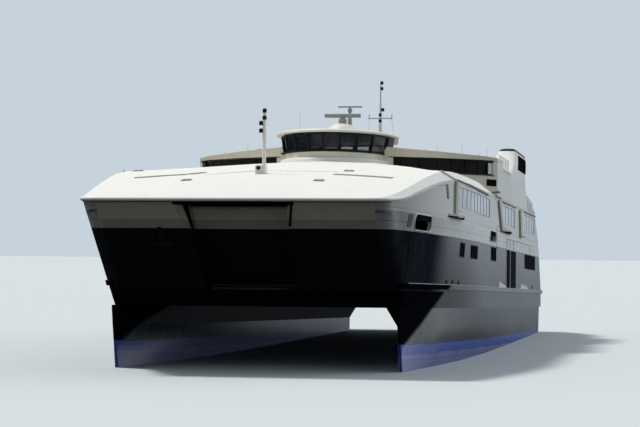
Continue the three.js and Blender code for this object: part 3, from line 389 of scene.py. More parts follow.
looks = {
    "topWhite": plating,
    "deckWhite": {"colour": (0.79, 0.785, 0.74), "rough": 0.6, "across": "Y", "seams": 0.05,
                  "seam": (0.6, 0.59, 0.54), "plate": (0.75, 0.3), "fade": 0.18,
                  "faded": (0.72, 0.71, 0.65), "dirt": 0.10, "soil": (0.50, 0.46, 0.38),
                  "hollow": 0.0008, "grain": 0.0005},
    "roofWhite": {"colour": (0.70, 0.71, 0.69), "rough": 0.62, "across": "Y", "seams": 0.3,
                  "seam": (0.4, 0.4, 0.38), "plate": (0.4, 0.25), "fade": 0.3,
                  "faded": (0.56, 0.57, 0.55), "dirt": 0.28, "grain": 0.001},
    "cream": {"colour": (0.74, 0.69, 0.56), "rough": 0.4, "streaks": 0.2, "streak": (0.5, 0.46, 0.36),
              "fade": 0.10, "faded": (0.62, 0.60, 0.5), "dirt": 0.07},
    "creamRoof": {"colour": (0.78, 0.76, 0.68), "rough": 0.5, "fade": 0.15, "faded": (0.66, 0.64, 0.56),
                  "dirt": 0.12, "soil": (0.40, 0.37, 0.30)},
    "fascia": {"colour": (0.63, 0.585, 0.46), "rough": 0.45, "streaks": 0.3, "streak": (0.34, 0.31, 0.25),
               "fade": 0.2, "faded": (0.64, 0.61, 0.52)},
    # cabinPaint and sidePaint darken towards the bow as painted shade, less at the corner to the raked front
    "cabinPaint": {**plating, "forward": (0, 26, 44, (0.02, 0.018, 0.014), 0.62), "corner": (28.9, 30.4)},
    "sidePaint": {"colour": (0.012, 0.015, 0.026), "bands": [(8.3, (0.77, 0.785, 0.76))], "rough": 0.26,
                  "streaks": 0.20, "streak": (0.20, 0.21, 0.22), "seams": 0.2, "seam": (0.05, 0.05, 0.06),
                  "plate": (0.5, 0.22), "fade": 0.12, "faded": (0.16, 0.17, 0.19), "dirt": 0.10,
                  "soil": (0.13, 0.12, 0.11), "hollow": 0.003, "shine": 0.0, "gloss": (0, 25.0, 31.0),
                  "forward": (0, 26, 44, (0.004, 0.004, 0.004), 0.62), "corner": (28.9, 30.4)},
    # the front's white is painted darker and warmer than the sides' white as painted shade, with a darker
    # painted shadow strip from 8.3 to 8.85 over the black below
    "frontShadedPaint": {"colour": (0.004, 0.004, 0.006), "rough": 0.6, "shine": 0.2, "streaks": 0.1,
                   "bands": [(8.3, (0.46, 0.41, 0.34)), (8.85, (0.66, 0.59, 0.49))],
                   "streak": (0.03, 0.03, 0.03), "fade": 0.05, "faded": (0.06, 0.06, 0.055), "dirt": 0.10,
                   "soil": (0.03, 0.03, 0.025), "edge": 0.03},
    "hullPaint": {**greySide, "colour": (0.27, 0.32, 0.66), "rough": 0.38, "dirt": 0.14, "seams": 0.16,
                  "bands": [(0.42, (0.10, 0.17, 0.62)), (1.08, (0.042, 0.050, 0.055))], "ragged": 0.012,
                  "seam": (0.05, 0.05, 0.06), "plate": (0.6, 0.22), "hollow": 0.003, "forwardFoot": 1.08},
    "beamPaint": {**greySide, "colour": (0.042, 0.050, 0.055), "bands": [(4.485, (0.16, 0.18, 0.18))],
                  "rough": 0.4},
    "grooveBrown": {"colour": (0.20, 0.185, 0.155), "rough": 0.7, "fade": 0.3, "faded": (0.30, 0.27, 0.22),
                    "dirt": 0.3},
    "railGrey": {"colour": (0.22, 0.23, 0.24), "rough": 0.55, "fade": 0.5, "faded": (0.50, 0.51, 0.51),
                 "dirt": 0.3, "scale": 9},
    "navyTrim": {"colour": (0.010, 0.012, 0.018), "rough": 0.6, "shine": 0.05, "fade": 0.3,
                 "faded": (0.05, 0.055, 0.06), "dirt": 0.2},
    # painted shade: flat black without shine for openings, recesses, louvres and undersides that lie in shade
    "shadeBlack": {"colour": (0.008, 0.009, 0.010), "rough": 0.9, "shine": 0.0, "fade": 0.3,
                 "faded": (0.02, 0.02, 0.02), "dirt": 0.1, "soil": (0.03, 0.03, 0.03)},
    "blackTrim": {"colour": (0.006, 0.006, 0.007), "rough": 0.6, "shine": 0.2, "fade": 0.2,
                  "faded": (0.03, 0.03, 0.03), "dirt": 0.1, "soil": (0.04, 0.04, 0.04)},
    "olive": {"colour": (0.24, 0.225, 0.17), "rough": 0.55, "fade": 0.3, "faded": (0.34, 0.32, 0.26),
              "dirt": 0.25},
    # the ribs' beige is their white painted darker and warmer, as painted shade
    "ribShadeBeige": {"colour": (0.46, 0.44, 0.36), "rough": 0.5, "fade": 0.3, "faded": (0.52, 0.50, 0.42),
                 "dirt": 0.2},
    "deckGrey": {"colour": (0.17, 0.20, 0.20), "rough": 0.75, "across": "Y", "seams": 0.5,
                 "plate": (0.6, 0.25), "fade": 0.4, "faded": (0.26, 0.28, 0.27), "dirt": 0.4,
                 "grain": 0.0015},
    "greyPaint": {"colour": (0.33, 0.35, 0.36), "rough": 0.5, "fade": 0.2, "faded": (0.45, 0.46, 0.46),
                  "dirt": 0.25},
    "radarGrey": {"colour": (0.26, 0.27, 0.27), "rough": 0.5, "fade": 0.2, "faded": (0.36, 0.37, 0.36),
                  "dirt": 0.2},
    "mastPaint": {"colour": (0.50, 0.51, 0.49), "rough": 0.5, "fade": 0.2, "faded": (0.38, 0.38, 0.36),
                  "dirt": 0.3},
    "steel": {"colour": (0.50, 0.50, 0.50), "rough": 0.32, "metal": 1.0, "fade": 0.5,
              "faded": (0.30, 0.31, 0.31), "dirt": 0.35, "soil": (0.20, 0.15, 0.10), "scale": 9},
    "soot": {"colour": (0.006, 0.006, 0.006), "rough": 0.7, "shine": 0.15, "fade": 0.2,
             "faded": (0.02, 0.018, 0.016), "dirt": 0.2, "soil": (0.03, 0.028, 0.025)},
    "lidGreen": {"colour": (0.045, 0.062, 0.060), "rough": 0.6, "shine": 0.2, "fade": 0.3,
                 "faded": (0.08, 0.09, 0.09), "dirt": 0.2},
    "raftWhite": {"colour": (0.74, 0.75, 0.73), "rough": 0.35, "fade": 0.1, "dirt": 0.12, "coat": 0.2},
    "cloth": {"colour": (0.035, 0.05, 0.08), "rough": 0.9, "fade": 0.2, "faded": (0.08, 0.09, 0.11),
              "grain": 0.002},
}
glassLooks = {    # colour, roughness, share seen through, shine
    "darkGlass": ((0.010, 0.009, 0.009), 0.10, 0.0, 0.06),
    # paleGlass: its pale colour is a painted reflection of the sky on the panes
    "paleGlass": ((0.46, 0.53, 0.58), 0.12, 0.0, 0.5),
    "clearGlass": ((0.02, 0.03, 0.032), 0.05, 0.5, 0.2),
}


# Glass with a film of salt, which is a little lighter in patches.
def glaze(name, colour, rough, through, shine):
    mat, tree, shader = newMaterial(name)
    wear = useGroup(tree, "weather", tree.nodes.new("ShaderNodeTexCoord").outputs["Object"], Scale=6.0)
    salt = tuple(min(1, c * 1.6 + 0.012) for c in colour)
    feed(tree, shader["Base Color"], mixColour(tree, times(tree, wear["Fade"], 0.35), colour, salt))
    feed(tree, shader["Roughness"], spread(tree, wear["Dirt"], 0, 1, rough, rough + 0.14))
    shader["IOR"].default_value = 1.52
    shader["Specular IOR Level"].default_value = shine
    shader["Alpha"].default_value = 1 - through
    return mat


finish = {name: paint(name, look) for name, look in looks.items()}
finish.update({name: glaze(name, *look) for name, look in glassLooks.items()})
print("finishes made:", len(finish))

# CAD nodes keep their shape and take a finish

nodeLooks = {
    "hull": "hullPaint", "engines": "greyPaint", "car_deck": "beamPaint", "side": "sidePaint",
    "passenger_deck": "cabinPaint", "bow_front": "frontShadedPaint", "bow_ramp": "frontShadedPaint",
    "stern_frame": "sidePaint", "stern_ramp": "topWhite", "rub_rail": "beamPaint",
    "foredeck": "deckWhite", "cabin_side": "cabinPaint", "cabin_glass": "paleGlass",
    "cabin_roof": "roofWhite", "cabin_aft_wall": "topWhite", "lounge_front": "cream",
    "lounge_glass": "darkGlass", "upper_side": "topWhite", "lounge_roof": "fascia",
    "wheelhouse_base": "cream", "wheelhouse_frame": "blackTrim", "wheelhouse_glass": "clearGlass",
    "wheelhouse_roof": "creamRoof", "bridge_console": "cloth", "aft_roof": "roofWhite",
    "upper_aft_wall": "topWhite", "funnel": "topWhite", "foremast": "deckWhite",
    "main_mast": "mastPaint", "radar_post": "radarGrey", "radar_scanner": "radarGrey",
    "anchor": "navyTrim", "jet_frame": "steel", "jet_nozzle": "steel", "jet_bucket": "steel",
}


# Rounded plating shades smoothly, and edges sharper than the limit stay crisp.
def makeSoftShade(limit):
    tree = bpy.data.node_groups.new("softShade", "GeometryNodeTree")
    for way in ("INPUT", "OUTPUT"):
        tree.interface.new_socket("Geometry", in_out=way, socket_type="NodeSocketGeometry")
    source, out = tree.nodes.new("NodeGroupInput"), tree.nodes.new("NodeGroupOutput")
    merge = tree.nodes.new("GeometryNodeMergeByDistance")
    merge.inputs["Distance"].default_value = 0.00002
    faces, edges = [tree.nodes.new("GeometryNodeSetShadeSmooth") for _ in range(2)]
    edges.domain = "EDGE"
    angle = tree.nodes.new("GeometryNodeInputMeshEdgeAngle")
    compare = tree.nodes.new("FunctionNodeCompare")
    compare.operation = "LESS_THAN"
    compare.inputs[1].default_value = limit
    for start, end in ((source.outputs[0], merge.inputs["Geometry"]), (merge.outputs[0], faces.inputs[0]),
                       (faces.outputs[0], edges.inputs[0]), (edges.outputs[0], out.inputs[0]),
                       (angle.outputs["Unsigned Angle"], compare.inputs[0]),
                       (compare.outputs[0], edges.inputs["Shade Smooth"])):
        tree.links.new(start, end)
    return tree


softShade = makeSoftShade(math.radians(28))
for name, node in nodes.items():
    key = max((k for k in nodeLooks if name.startswith(k)), key=len)
    node.data.materials.clear()
    node.data.materials.append(finish[nodeLooks[key]])
    node.modifiers.new("softShade", "NODES").node_group = softShade
print("CAD nodes finished")

# lines of the ship, as in the CAD model, in metres of the real ship

lines = {
    "bowX": 43.3,
    "bowHeight": 10.13,
    "plan": [    # distance aft of the front, half breadth
        (0, 9.1), (0.12, 9.4), (0.4, 9.65), (0.9, 9.83), (1.8, 10.02), (3, 10.22), (5, 10.5), (8.7, 10.9),
        (13, 11.3), (17.5, 11.64), (22, 11.86), (27, 12.0)],
    "deck": [    # x, centre, sheer, shoulder rise and inset
        (43.3, 10.13, 10.13, 0, 0.1), (42.3, 10.5, 10.18, 0.13, 0.2), (41, 10.85, 10.27, 0.25, 0.25),
        (39.5, 11.2, 10.45, 0.32, 0.3), (38, 11.48, 10.7, 0.36, 0.35), (36, 11.85, 11.03, 0.4, 0.4),
        (33.7, 12.17, 11.4, 0.45, 0.45), (31, 12.54, 11.78, 0.52, 0.5), (28, 12.93, 12.08, 0.58, 0.55),
        (24, 13.35, 12.25, 0.62, 0.65), (20, 13.75, 12.3, 0.67, 0.75), (12, 14.4, 12.3, 0.83, 0.95),
        (6, 14.5, 12.3, 0.9, 1.05), (1, 14.5, 12.3, 0.9, 1.1)],
    "railHeight": 5.0,
    "paintLine": 8.3,
}
both = (("port", 1), ("starboard", -1))


def table(rows, value, column):
    rows = sorted(rows)
    if value <= rows[0][0]:
        return rows[0][column]
    for low, high in zip(rows, rows[1:]):
        if value <= high[0]:
            share = (value - low[0]) / (high[0] - low[0])
            return low[column] + (high[column] - low[column]) * share
    return rows[-1][column]


def frontX(z):
    return lines["bowX"] - bowRake * (lines["bowHeight"] - z)


# x at a height on a line through two points given by x and z
def onSlope(foot, top, z):
    return foot[0] + (z - foot[1]) * (top[0] - foot[0]) / (top[1] - foot[1])


def halfBreadth(x, z):
    return table(lines["plan"], frontX(z) - x, 1)


def sheer(x):
    return table(lines["deck"], x, 2)


def deckHeight(x, y):
    shoulder = sheer(x) + table(lines["deck"], x, 3)
    half = halfBreadth(x, sheer(x)) - table(lines["deck"], x, 4)
    return shoulder + (table(lines["deck"], x, 1) - shoulder) * (1 - (y / half) ** 2)


def onSide(x, z, sign, out=0.0):
    return (x, sign * (halfBreadth(x, z) + out), z)


def onDeck(x, y, up=0.0):
    return (x, y, deckHeight(x, abs(y)) + up)


# mesh tools


def newMeshes(count):
    return [bmesh.new() for _ in range(count)]


def addLoft(bm, rings):
    rows = [[bm.verts.new(p) for p in ring] for ring in rings]
    count = len(rows[0])
    for a, b in zip(rows, rows[1:]):
        for i in range(count):
            j = (i + 1) % count
            bm.faces.new((a[i], a[j], b[j], b[i]))
    bm.faces.new(rows[0][::-1])
    bm.faces.new(rows[-1])


def addBox(bm, low, high, turn=None, about=(0, 0, 0)):
    made = bmesh.ops.create_cube(bm, size=1)["verts"]
    size = [b - a for a, b in zip(low, high)]
    middle = [(a + b) / 2 for a, b in zip(low, high)]
    bmesh.ops.scale(bm, vec=size, verts=made)
    bmesh.ops.translate(bm, vec=middle, verts=made)
    if turn is not None:
        bmesh.ops.rotate(bm, cent=about, matrix=turn, verts=made)


# A box given by the middle of its plan, half of its length and width, and two heights.
def addBlock(bm, x, y, halfX, halfY, low, high):
    addBox(bm, (x - halfX, y - halfY, low), (x + halfX, y + halfY, high))


def addTube(bm, points, radius, sides=6):
    points = [Vector(p) for p in points]
    rings = []
    across = None
    for i, p in enumerate(points):
        ahead = (points[min(i + 1, len(points) - 1)] - points[max(i - 1, 0)]).normalized()
        if across is None:
            across = ahead.orthogonal().normalized()
        across = (across - ahead * across.dot(ahead)).normalized()
        other = ahead.cross(across)
        size = radius[i] if isinstance(radius, (list, tuple)) else radius
        rings.append([p + (across * math.cos(a) + other * math.sin(a)) * size
                      for a in (2 * math.pi * k / sides for k in range(sides))])
    addLoft(bm, rings)


# An upright round post. A list of heights goes with a list of radii.
def addPost(bm, x, y, heights, radius, sides=6):
    addTube(bm, [(x, y, z) for z in heights], radius, sides)


def addDisc(bm, centre, axis, radius, thick, sides):
    axis = Vector(axis).normalized()
    addTube(bm, [Vector(centre) - axis * thick / 2, Vector(centre) + axis * thick / 2], radius, sides)


# Section of a thin panel: one value and the distance out, going round from the outer face.
def thin(low, high, out, deep):
    return (low, out), (high, out), (high, out - deep), (low, out - deep)


# Corners of a panel in x and z: aft low, front low, front high, aft high.
def oblong(aft, front, low, high, grow=0.0):
    aft, front, low, high = aft - grow, front + grow, low - grow, high + grow
    return (aft, low), (front, low), (front, high), (aft, high)


# A thin panel that follows the curved side.
def addSidePanel(bm, sign, corners, out=0.03, deep=0.06, steps=8):
    rings = []
    for i in range(steps + 1):
        t = i / steps
        low = [corners[0][k] + (corners[1][k] - corners[0][k]) * t for k in (0, 1)]
        high = [corners[3][k] + (corners[2][k] - corners[3][k]) * t for k in (0, 1)]
        rings.append([onSide(x, z, sign, o) for (x, z), o in thin(low, high, out, deep)])
    addLoft(bm, rings)


def addSideBar(bm, sign, start, end, wide, out, steps=1):
    points = []
    for i in range(steps + 1):
        x, z = [a + (b - a) * i / steps for a, b in zip(start, end)]
        points.append(onSide(x, z, sign, out))
    addTube(bm, points, wide)


def finishPiece(bm, name, look, body="ship", smooth=32, bevel=0.0):
    bmesh.ops.scale(bm, vec=(model, model, model), verts=bm.verts)
    bmesh.ops.recalc_face_normals(bm, faces=bm.faces)
    mesh = bpy.data.meshes.new(name)
    bm.to_mesh(mesh)
    bm.free()
    mesh.materials.append(finish[look])
    mesh.shade_smooth()
    mesh.set_sharp_from_angle(angle=math.radians(smooth))
    obj = newObject(name, mesh)
    if bevel:
        edge = obj.modifiers.new("bevel", "BEVEL")
        edge.width = bevel * model
        edge.segments = 2
        edge.limit_method = "ANGLE"
        edge.angle_limit = math.radians(30)
        edge.harden_normals = True
    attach(obj, body)
    return obj


# foredeck: rounded nose, grooves, hatches and seams

foredeck = {
    "nose": (0.045, 0.13, 36, 6),    # thin and thick radius, x where it starts to grow, length of the change
    "noseAft": 20,    # metres aft of the front where it ends
    "noseIn": (0.03, 0.02, 0.10),    # how far its middle lies inside the edge in x, y and z
    "grooves": [(1, (33.55, 4.7), (34.4, 8.7)), (-1, (33.55, 5.3), (34.5, 8.65)),
                (-1, (32.3, 4.35), (33.4, 5.2))],    # side, x and y of both ends
    "grooveHalf": 0.27,
    "grooveTop": 0.03,
    "hatches": [(37.45, 4.4), (37.35, -4.35), (30.8, 5.2), (28.5, -10.0)],    # x, y of each middle
    "hatchHalf": (0.25, 0.3),
    "rim": (0.04, 0.03),    # how much larger than the lid, height
    "lid": (0.0, 0.06),
    "hinge": (0.18, 0.03),    # length, radius
    "sunk": -0.05,
    "seam": [(34.4, -3.8), (33.2, -2.8), (32.3, -1.9), (31.7, -1.1), (31.5, -0.6), (31.44, 2.0), (31.6, 3.6),
             (31.75, 4.8)],
    "seamRadius": 0.014,
    "bolts": 4,    # on each stretch of the seam
    "bolt": (0.045, 0.03),    # radius, height
}


def addDeckNose(s):
    half = []
    inX, inY, inZ = s["noseIn"]
    for d, y in lines["plan"]:
        if d >= s["noseAft"]:
            break
        x = lines["bowX"] - d
        for _ in range(6):    # the front leans, so x and the sheer there are found in rounds
            x = frontX(sheer(x)) - d
        half.append((x - inX, y - inY, sheer(x) - inZ))
    front = [(lines["bowX"] - inX, k * 1.2, lines["bowHeight"] - inZ) for k in range(-7, 8)]
    path = [(x, -y, z) for x, y, z in half[::-1]] + front + half
    thin, thick, start, over = s["nose"]
    sizes = [thin + (thick - thin) * max(0.0, min(1.0, (p[0] - start) / over)) for p in path]
    bm = bmesh.new()
    addTube(bm, path, sizes, 12)
    finishPiece(bm, "deckNose", "topWhite", smooth=60)


def addDeckGrooves(s, steps=12):
    bm = bmesh.new()
    for sign, (xa, ya), (xb, yb) in s["grooves"]:
        long = Vector((xb - xa, yb - ya)).normalized()
        side = Vector((-long.y, long.x)) * s["grooveHalf"]
        rings = []
        for i in range(steps + 1):
            x, y = xa + (xb - xa) * i / steps, ya + (yb - ya) * i / steps
            rings.append([onDeck(x + k * side.x, sign * (y + k * side.y), up) for k, up in (
                (1, s["sunk"]), (1, s["grooveTop"]), (-1, s["grooveTop"]), (-1, s["sunk"]))])
        addLoft(bm, rings)
    finishPiece(bm, "deckGrooves", "grooveBrown", bevel=0.01)


def addHatches(s):
    rims, lids = newMeshes(2)
    halfX, halfY = s["hatchHalf"]
    length, radius = s["hinge"]
    for x, y in s["hatches"]:
        for bm, (grow, top) in ((rims, s["rim"]), (lids, s["lid"])):
            base = [(x + dx * (halfX + grow), y + dy * (halfY + grow))
                    for dx, dy in ((-1, -1), (1, -1), (1, 1), (-1, 1))]
            addLoft(bm, [[onDeck(a, b, up) for a, b in base] for up in (s["sunk"], top)])
        for k in (-1, 1):
            hinge = [onDeck(x - halfX + dx, y + k * halfY * 0.6, 0.06) for dx in (0, length)]
            addTube(lids, hinge, radius, 8)
    finishPiece(rims, "hatchCoamings", "grooveBrown", bevel=0.02)
    finishPiece(lids, "hatchLids", "olive", bevel=0.03)


def addDeckFasteners(s):
    bm = bmesh.new()
    addTube(bm, [onDeck(x, y) for x, y in s["seam"]], s["seamRadius"])
    for (xa, ya), (xb, yb) in zip(s["seam"], s["seam"][1:]):
        for k in range(s["bolts"]):
            at = onDeck(xa + (xb - xa) * k / s["bolts"], ya + (yb - ya) * k / s["bolts"], 0.01)
            addDisc(bm, at, (0, 0, 1), *s["bolt"], 8)
    finishPiece(bm, "deckFasteners", "mastPaint", smooth=60)


addDeckNose(foredeck)
addDeckGrooves(foredeck)
addHatches(foredeck)
addDeckFasteners(foredeck)
print("foredeck done")

# painted shade lining the recess round the bow ramp, and the ramp's stiffening

bowRecess = {
    "topHalf": 3.85, "shoulderHalf": 3.71, "kneeHalf": 3.28, "footHalf": 3.12, "innerHalf": 3.085,
    "foot": 4.6, "kneeFrom": 4.5, "top": 9.76, "slotTop": 10.0, "splay": 0.95,
    # the rest of each jamb, the slot over the ramp and the ceiling are painted shade
    "jamb": 0.55,    # share of the jamb that has the colour of the front
    "frame": 0.08,
    "skin": 0.04,
    "ceiling": (3.7, 3.08, 9.72),    # half width in front and at the back, height at the back
}
bowRamp = {
    "hingeHeight": 4.75, "hingeIn": 1.3, "top": 9.5,
    "treads": 9, "treadHalf": 2.95, "treadIn": 0.22,
    "ribs": (-2.9, -1.45, 0, 1.45, 2.9), "ribIn": 0.21, "ribRadius": 0.05,
}


def jambHalf(s, z):
    knee = lines["paintLine"]
    if z > knee:
        return s["kneeHalf"] + (s["shoulderHalf"] - s["kneeHalf"]) * (z - knee) / (s["top"] - knee)
    share = (z - s["kneeFrom"]) / (knee - s["kneeFrom"])
    return s["footHalf"] + (s["kneeHalf"] - s["footHalf"]) * min(1, share)


def addRecess(s, steps=8):
    bm, jambs = newMeshes(2)
    half, low, high = s["topHalf"], s["top"] - 0.04, s["slotTop"]
    slot = [(frontX(z) + 0.012, y, z) for y, z in ((-half, low), (half, low), (half, high), (-half, high))]
    addLoft(bm, [slot, [(x - 0.06, y, z) for x, y, z in slot]])
    for _, sign in both:
        outer, inner = [], []
        for t in range(steps + 1):
            z = s["foot"] + (s["top"] - s["foot"]) * t / steps
            outer.append((frontX(z) + 0.01, sign * (jambHalf(s, z) - 0.012), z))
            inner.append((frontX(z) - s["splay"], sign * s["innerHalf"], z))
        middle = [tuple(Vector(a).lerp(Vector(b), s["jamb"])) for a, b in zip(outer, inner)]
        # the black edge is a painted shadow, on the port jamb only
        if sign > 0:    # only this jamb has a black edge
            addTube(bm, [p for p in outer if p[2] > lines["paintLine"]], s["frame"])
        for target, face in ((jambs, (outer, middle)), (bm, (middle, inner))):
            behind = [[(x - 0.01, y + sign * s["skin"], z) for x, y, z in line] for line in face[::-1]]
            addLoft(target, [list(ring) for ring in zip(*face, *behind)])
    wide, narrow, height = s["ceiling"]
    edge, back = (frontX(s["top"]), wide, s["top"] - 0.01), (frontX(9.74) - 1.0, narrow, height)
    ceiling = [(x, side * y, z) for side, (x, y, z) in ((-1, edge), (1, edge), (1, back), (-1, back))]
    addLoft(bm, [ceiling, [(x, y, z - 0.03) for x, y, z in ceiling]])
    finishPiece(bm, "recessPaintedShade", "shadeBlack")
    finishPiece(jambs, "recessJambs", "frontShadedPaint")


def addRampTreads(s):
    bm = bmesh.new()
    up = Vector((bowRake, 0, 1)).normalized()
    inward = Vector((-1, 0, bowRake)).normalized()
    hinge = Vector((frontX(s["hingeHeight"]) - s["hingeIn"], 0, s["hingeHeight"]))
    long = (s["top"] - s["hingeHeight"]) * math.hypot(bowRake, 1)
    lean = Matrix.Rotation(-math.atan(bowRake), 3, "Y")
    for k in range(s["treads"]):
        a = hinge + up * (0.5 + (long - 0.75) * k / (s["treads"] - 1)) + inward * s["treadIn"]
        addBox(bm, (a.x, -s["treadHalf"], a.z - 0.05), (a.x + 0.12, s["treadHalf"], a.z + 0.07), lean, a)
    ends = [hinge + up * at + inward * s["ribIn"] for at in (0.4, long - 0.2)]
    for y in s["ribs"]:
        addTube(bm, [end + Vector((0, y, 0)) for end in ends], s["ribRadius"])
    finishPiece(bm, "bowRampTreads", "deckGrey", body="bow_ramp", bevel=0.01)


addRecess(bowRecess)
addRampTreads(bowRamp)
print("bow done")

# hull side: windows, openings, ports, strake and the long seam of the rail

hullSide = {
    "windows": [    # x aft, x front, z low, z high, panes
        (20.1, 22.1, 7.05, 7.95, 2), (13.7, 17.4, 7.05, 7.9, 4), (0.5, 4.4, 7.15, 8.1, 2)],
    "post": 0.12,    # half of the gap between two panes
    "rim": 0.08,
    "slots": [    # tall dark openings: x aft, x front, z low, z high
        (-10.45, -8.6, 4.98, 8.22), (-13.6, -12.1, 4.98, 8.2), (-15.9, -14.2, 4.98, 8.2),
        (-27.4, -25.4, 6.9, 8.22), (-30.2, -28.2, 6.9, 8.22), (-33.2, -31.0, 6.9, 8.22),
        (-35.6, -34.0, 6.9, 8.22)],
    "slit": ((37.5, 8.53), (38.35, 8.53), (38.4, 9.37), (37.35, 9.37)),
    "lid": ((27.65, 10.8), (28.3, 10.8), (29.1, 11.75), (28.45, 11.75)),
    "ports": [(25.7, 5.2), (23.7, 5.2), (21.55, 5.2), (-6, 5.25), (-33, 5.25)],
    "port": (0.15, 0.09),    # radius, thickness
    "pockets": [(-0.6, -7.0), (-19.8, -27.9)],    # x front and aft
    "pocketFoot": 4.98,
    "pocketTop": ((1.4, 5.45), (0.9, 5.2)),    # how far in from front and aft the top corners lie, and z
    "pocketY": (11.96, 12.15),
    "railCap": (-43.2, 36.0, 60),    # x aft and front, stretches
    # the panel over each opening is a painted shadow
    "openings": [    # x aft, x front, z low, z high, and the top of the dark panel over it
        (32.2, 36.8, 8.42, 9.1, 9.42), (0.6, 5.2, 8.6, 9.1, 9.4)],
    "seams": [    # thin joints in the plating: x and z of both ends
        ((-0.1, 8.0), (-0.1, 9.9)), ((-0.1, 9.98), (-8.4, 9.98)), ((-8.4, 8.35), (-8.4, 9.15)),
        ((-8.4, 9.15), (-30.5, 9.15)), ((-11.0, 8.35), (-11.0, 9.1)), ((-14.2, 8.35), (-14.2, 9.1)),
        ((-30.5, 8.35), (-30.5, 9.15)), ((25.4, 10.16), (22.5, 10.16))],
    "drips": [    # dark drip rails over the windows
        ((25.2, 12.24), (6.9, 12.1)), ((-4.6, 12.08), (-15.6, 12.08)), ((-24.2, 12.08), (-36.0, 12.08))],
    "clips": (8.0, 9.6, 11.4, 13.2),    # x of the blocks on the drip rail
    "clip": (0.3, 0.1, 11.98, 12.2),
    "deckEdge": (9.16, 9.44),    # z low and high of the strip over the upright edge of the deck
    "straight": (29, 5.29, 11),    # where the side runs straight: metres aft of the front, step, how many
    "ribs": [    # x top and foot, top z, half width
        (25.7, 25.1, 12.1, 0.42), (-1.0, -3.6, 12.0, 0.75), (-19.6, -20.4, 12.0, 0.75)],
    "ribFoot": 9.62,
    "beadRun": 2.6,    # how far the bead up the shoulder goes along the ship
    "bosses": [(24.5, 2.9, 9.68), (-7.5, 3.5, 9.68)],    # x of the middle, half length, z
    "cabin": [    # x aft, x front, z low, z high, panes
        (5.4, 24.0, 10.4, 11.82, 9), (-15.2, -5.0, 10.25, 11.82, 4), (-35.4, -24.6, 10.25, 11.82, 4)],
}


def addSideWindows(s, label, sign):
    frames, panes, lids, slits = newMeshes(4)
    for aft, front, low, high, count in s["windows"]:
        step = (front - aft) / count
        for k in range(count):
            a, b = aft + step * k + s["post"], aft + step * (k + 1) - s["post"]
            addSidePanel(frames, sign, oblong(a, b, low, high, s["rim"]), 0.02)
            addSidePanel(panes, sign, oblong(a, b, low, high), 0.035)
    for aft, front, low, high in s["slots"]:
        addSidePanel(panes, sign, oblong(aft, front, low, high), 0.02)
        for x in (aft, (aft + front) / 2, front):
            addSideBar(frames, sign, (x, low), (x, high), 0.05, 0.02)
    addSidePanel(slits, sign, s["slit"])
    addSidePanel(lids, sign, s["lid"])
    finishPiece(frames, "sideWindowFrames_" + label, "navyTrim")
    # the panes and tall openings are flat black, painted shade of the dark inside
    finishPiece(panes, "sideWindows_" + label, "shadeBlack")
    finishPiece(lids, "sideLids_" + label, "deckGrey", bevel=0.02)
    finishPiece(slits, "sideSlits_" + label, "lidGreen", bevel=0.02)


# Round-ended openings in the light band, with a bead all round and a painted shadow panel above.
def addOpenings(s, label, sign, steps=28):
    rims, shadowPanels = newMeshes(2)
    for aft, front, low, high, top in s["openings"]:
        z = high - 0.05
        panel = ((aft + 0.2, z), (front - 0.2, z), (front - 0.35, top), (aft + 0.35, top))
        addSidePanel(shadowPanels, sign, panel, 0.02, 0.03)
        half, middle = (top - low) / 2, (top + low) / 2
        loop = []
        for k in range(steps):
            angle = 2 * math.pi * k / steps
            x = (front - half if math.cos(angle) > 0 else aft + half) + (half + 0.03) * math.cos(angle)
            loop.append(onSide(x, middle + (half + 0.03) * math.sin(angle), sign, 0.01))
        addTube(rims, loop + [loop[0]], 0.045, 8)
    finishPiece(rims, "openingRims_" + label, "topWhite", smooth=60)
    finishPiece(shadowPanels, "openingShadowPanels_" + label, "shadeBlack")


def addRailParts(s, label, sign):
    ports, wedge, rail = newMeshes(3)
    for x, z in s["ports"]:
        addDisc(ports, onSide(x, z, sign), (0, 1, 0), *s["port"], 16)
    finishPiece(ports, "overboardPorts_" + label, "soot")
    foot, ((fore, foreZ), (back, backZ)) = s["pocketFoot"], s["pocketTop"]
    for front, aft in s["pockets"]:
        outline = [(front, foot), (front - fore, foreZ), (aft + back, backZ), (aft, foot)]
        addLoft(wedge, [[(x, sign * y, z) for x, z in outline] for y in s["pocketY"]])
    finishPiece(wedge, "railPockets_" + label, "topWhite", bevel=0.03)
    aft, front, count = s["railCap"]
    places = [aft + (front - aft) * k / count for k in range(count + 1)]
    addTube(rail, [onSide(x, lines["railHeight"], sign, 0.13) for x in places], 0.035, 8)
    finishPiece(rail, "railCap_" + label, "railGrey", smooth=60)


def addPlateEdges(s, label, sign):
    joints, drips, strip = newMeshes(3)
    for start, end in s["seams"]:
        addSideBar(joints, sign, start, end, 0.035, -0.005, 6)
    for start, end in s["drips"]:
        addSideBar(drips, sign, start, end, 0.06, 0.03, 12)
    for x in s["clips"]:
        addBlock(drips, x, sign * (halfBreadth(x, 12) - 0.05), *s["clip"])
    section = thin(*s["deckEdge"], 0.008, 0.018)
    rings = []
    start, step, count = s["straight"]
    for d in [d for d, _ in lines["plan"][1:]] + [start + step * k for k in range(count)]:
        y = table(lines["plan"], d, 1)
        rings.append([(frontX(z) - d, sign * (y + out), z) for z, out in section])
    addLoft(strip, rings)
    finishPiece(joints, "plateJoints_" + label, "railGrey", smooth=60)
    finishPiece(drips, "dripRails_" + label, "olive", smooth=60)
    finishPiece(strip, "deckEdge_" + label, "sidePaint", smooth=60)
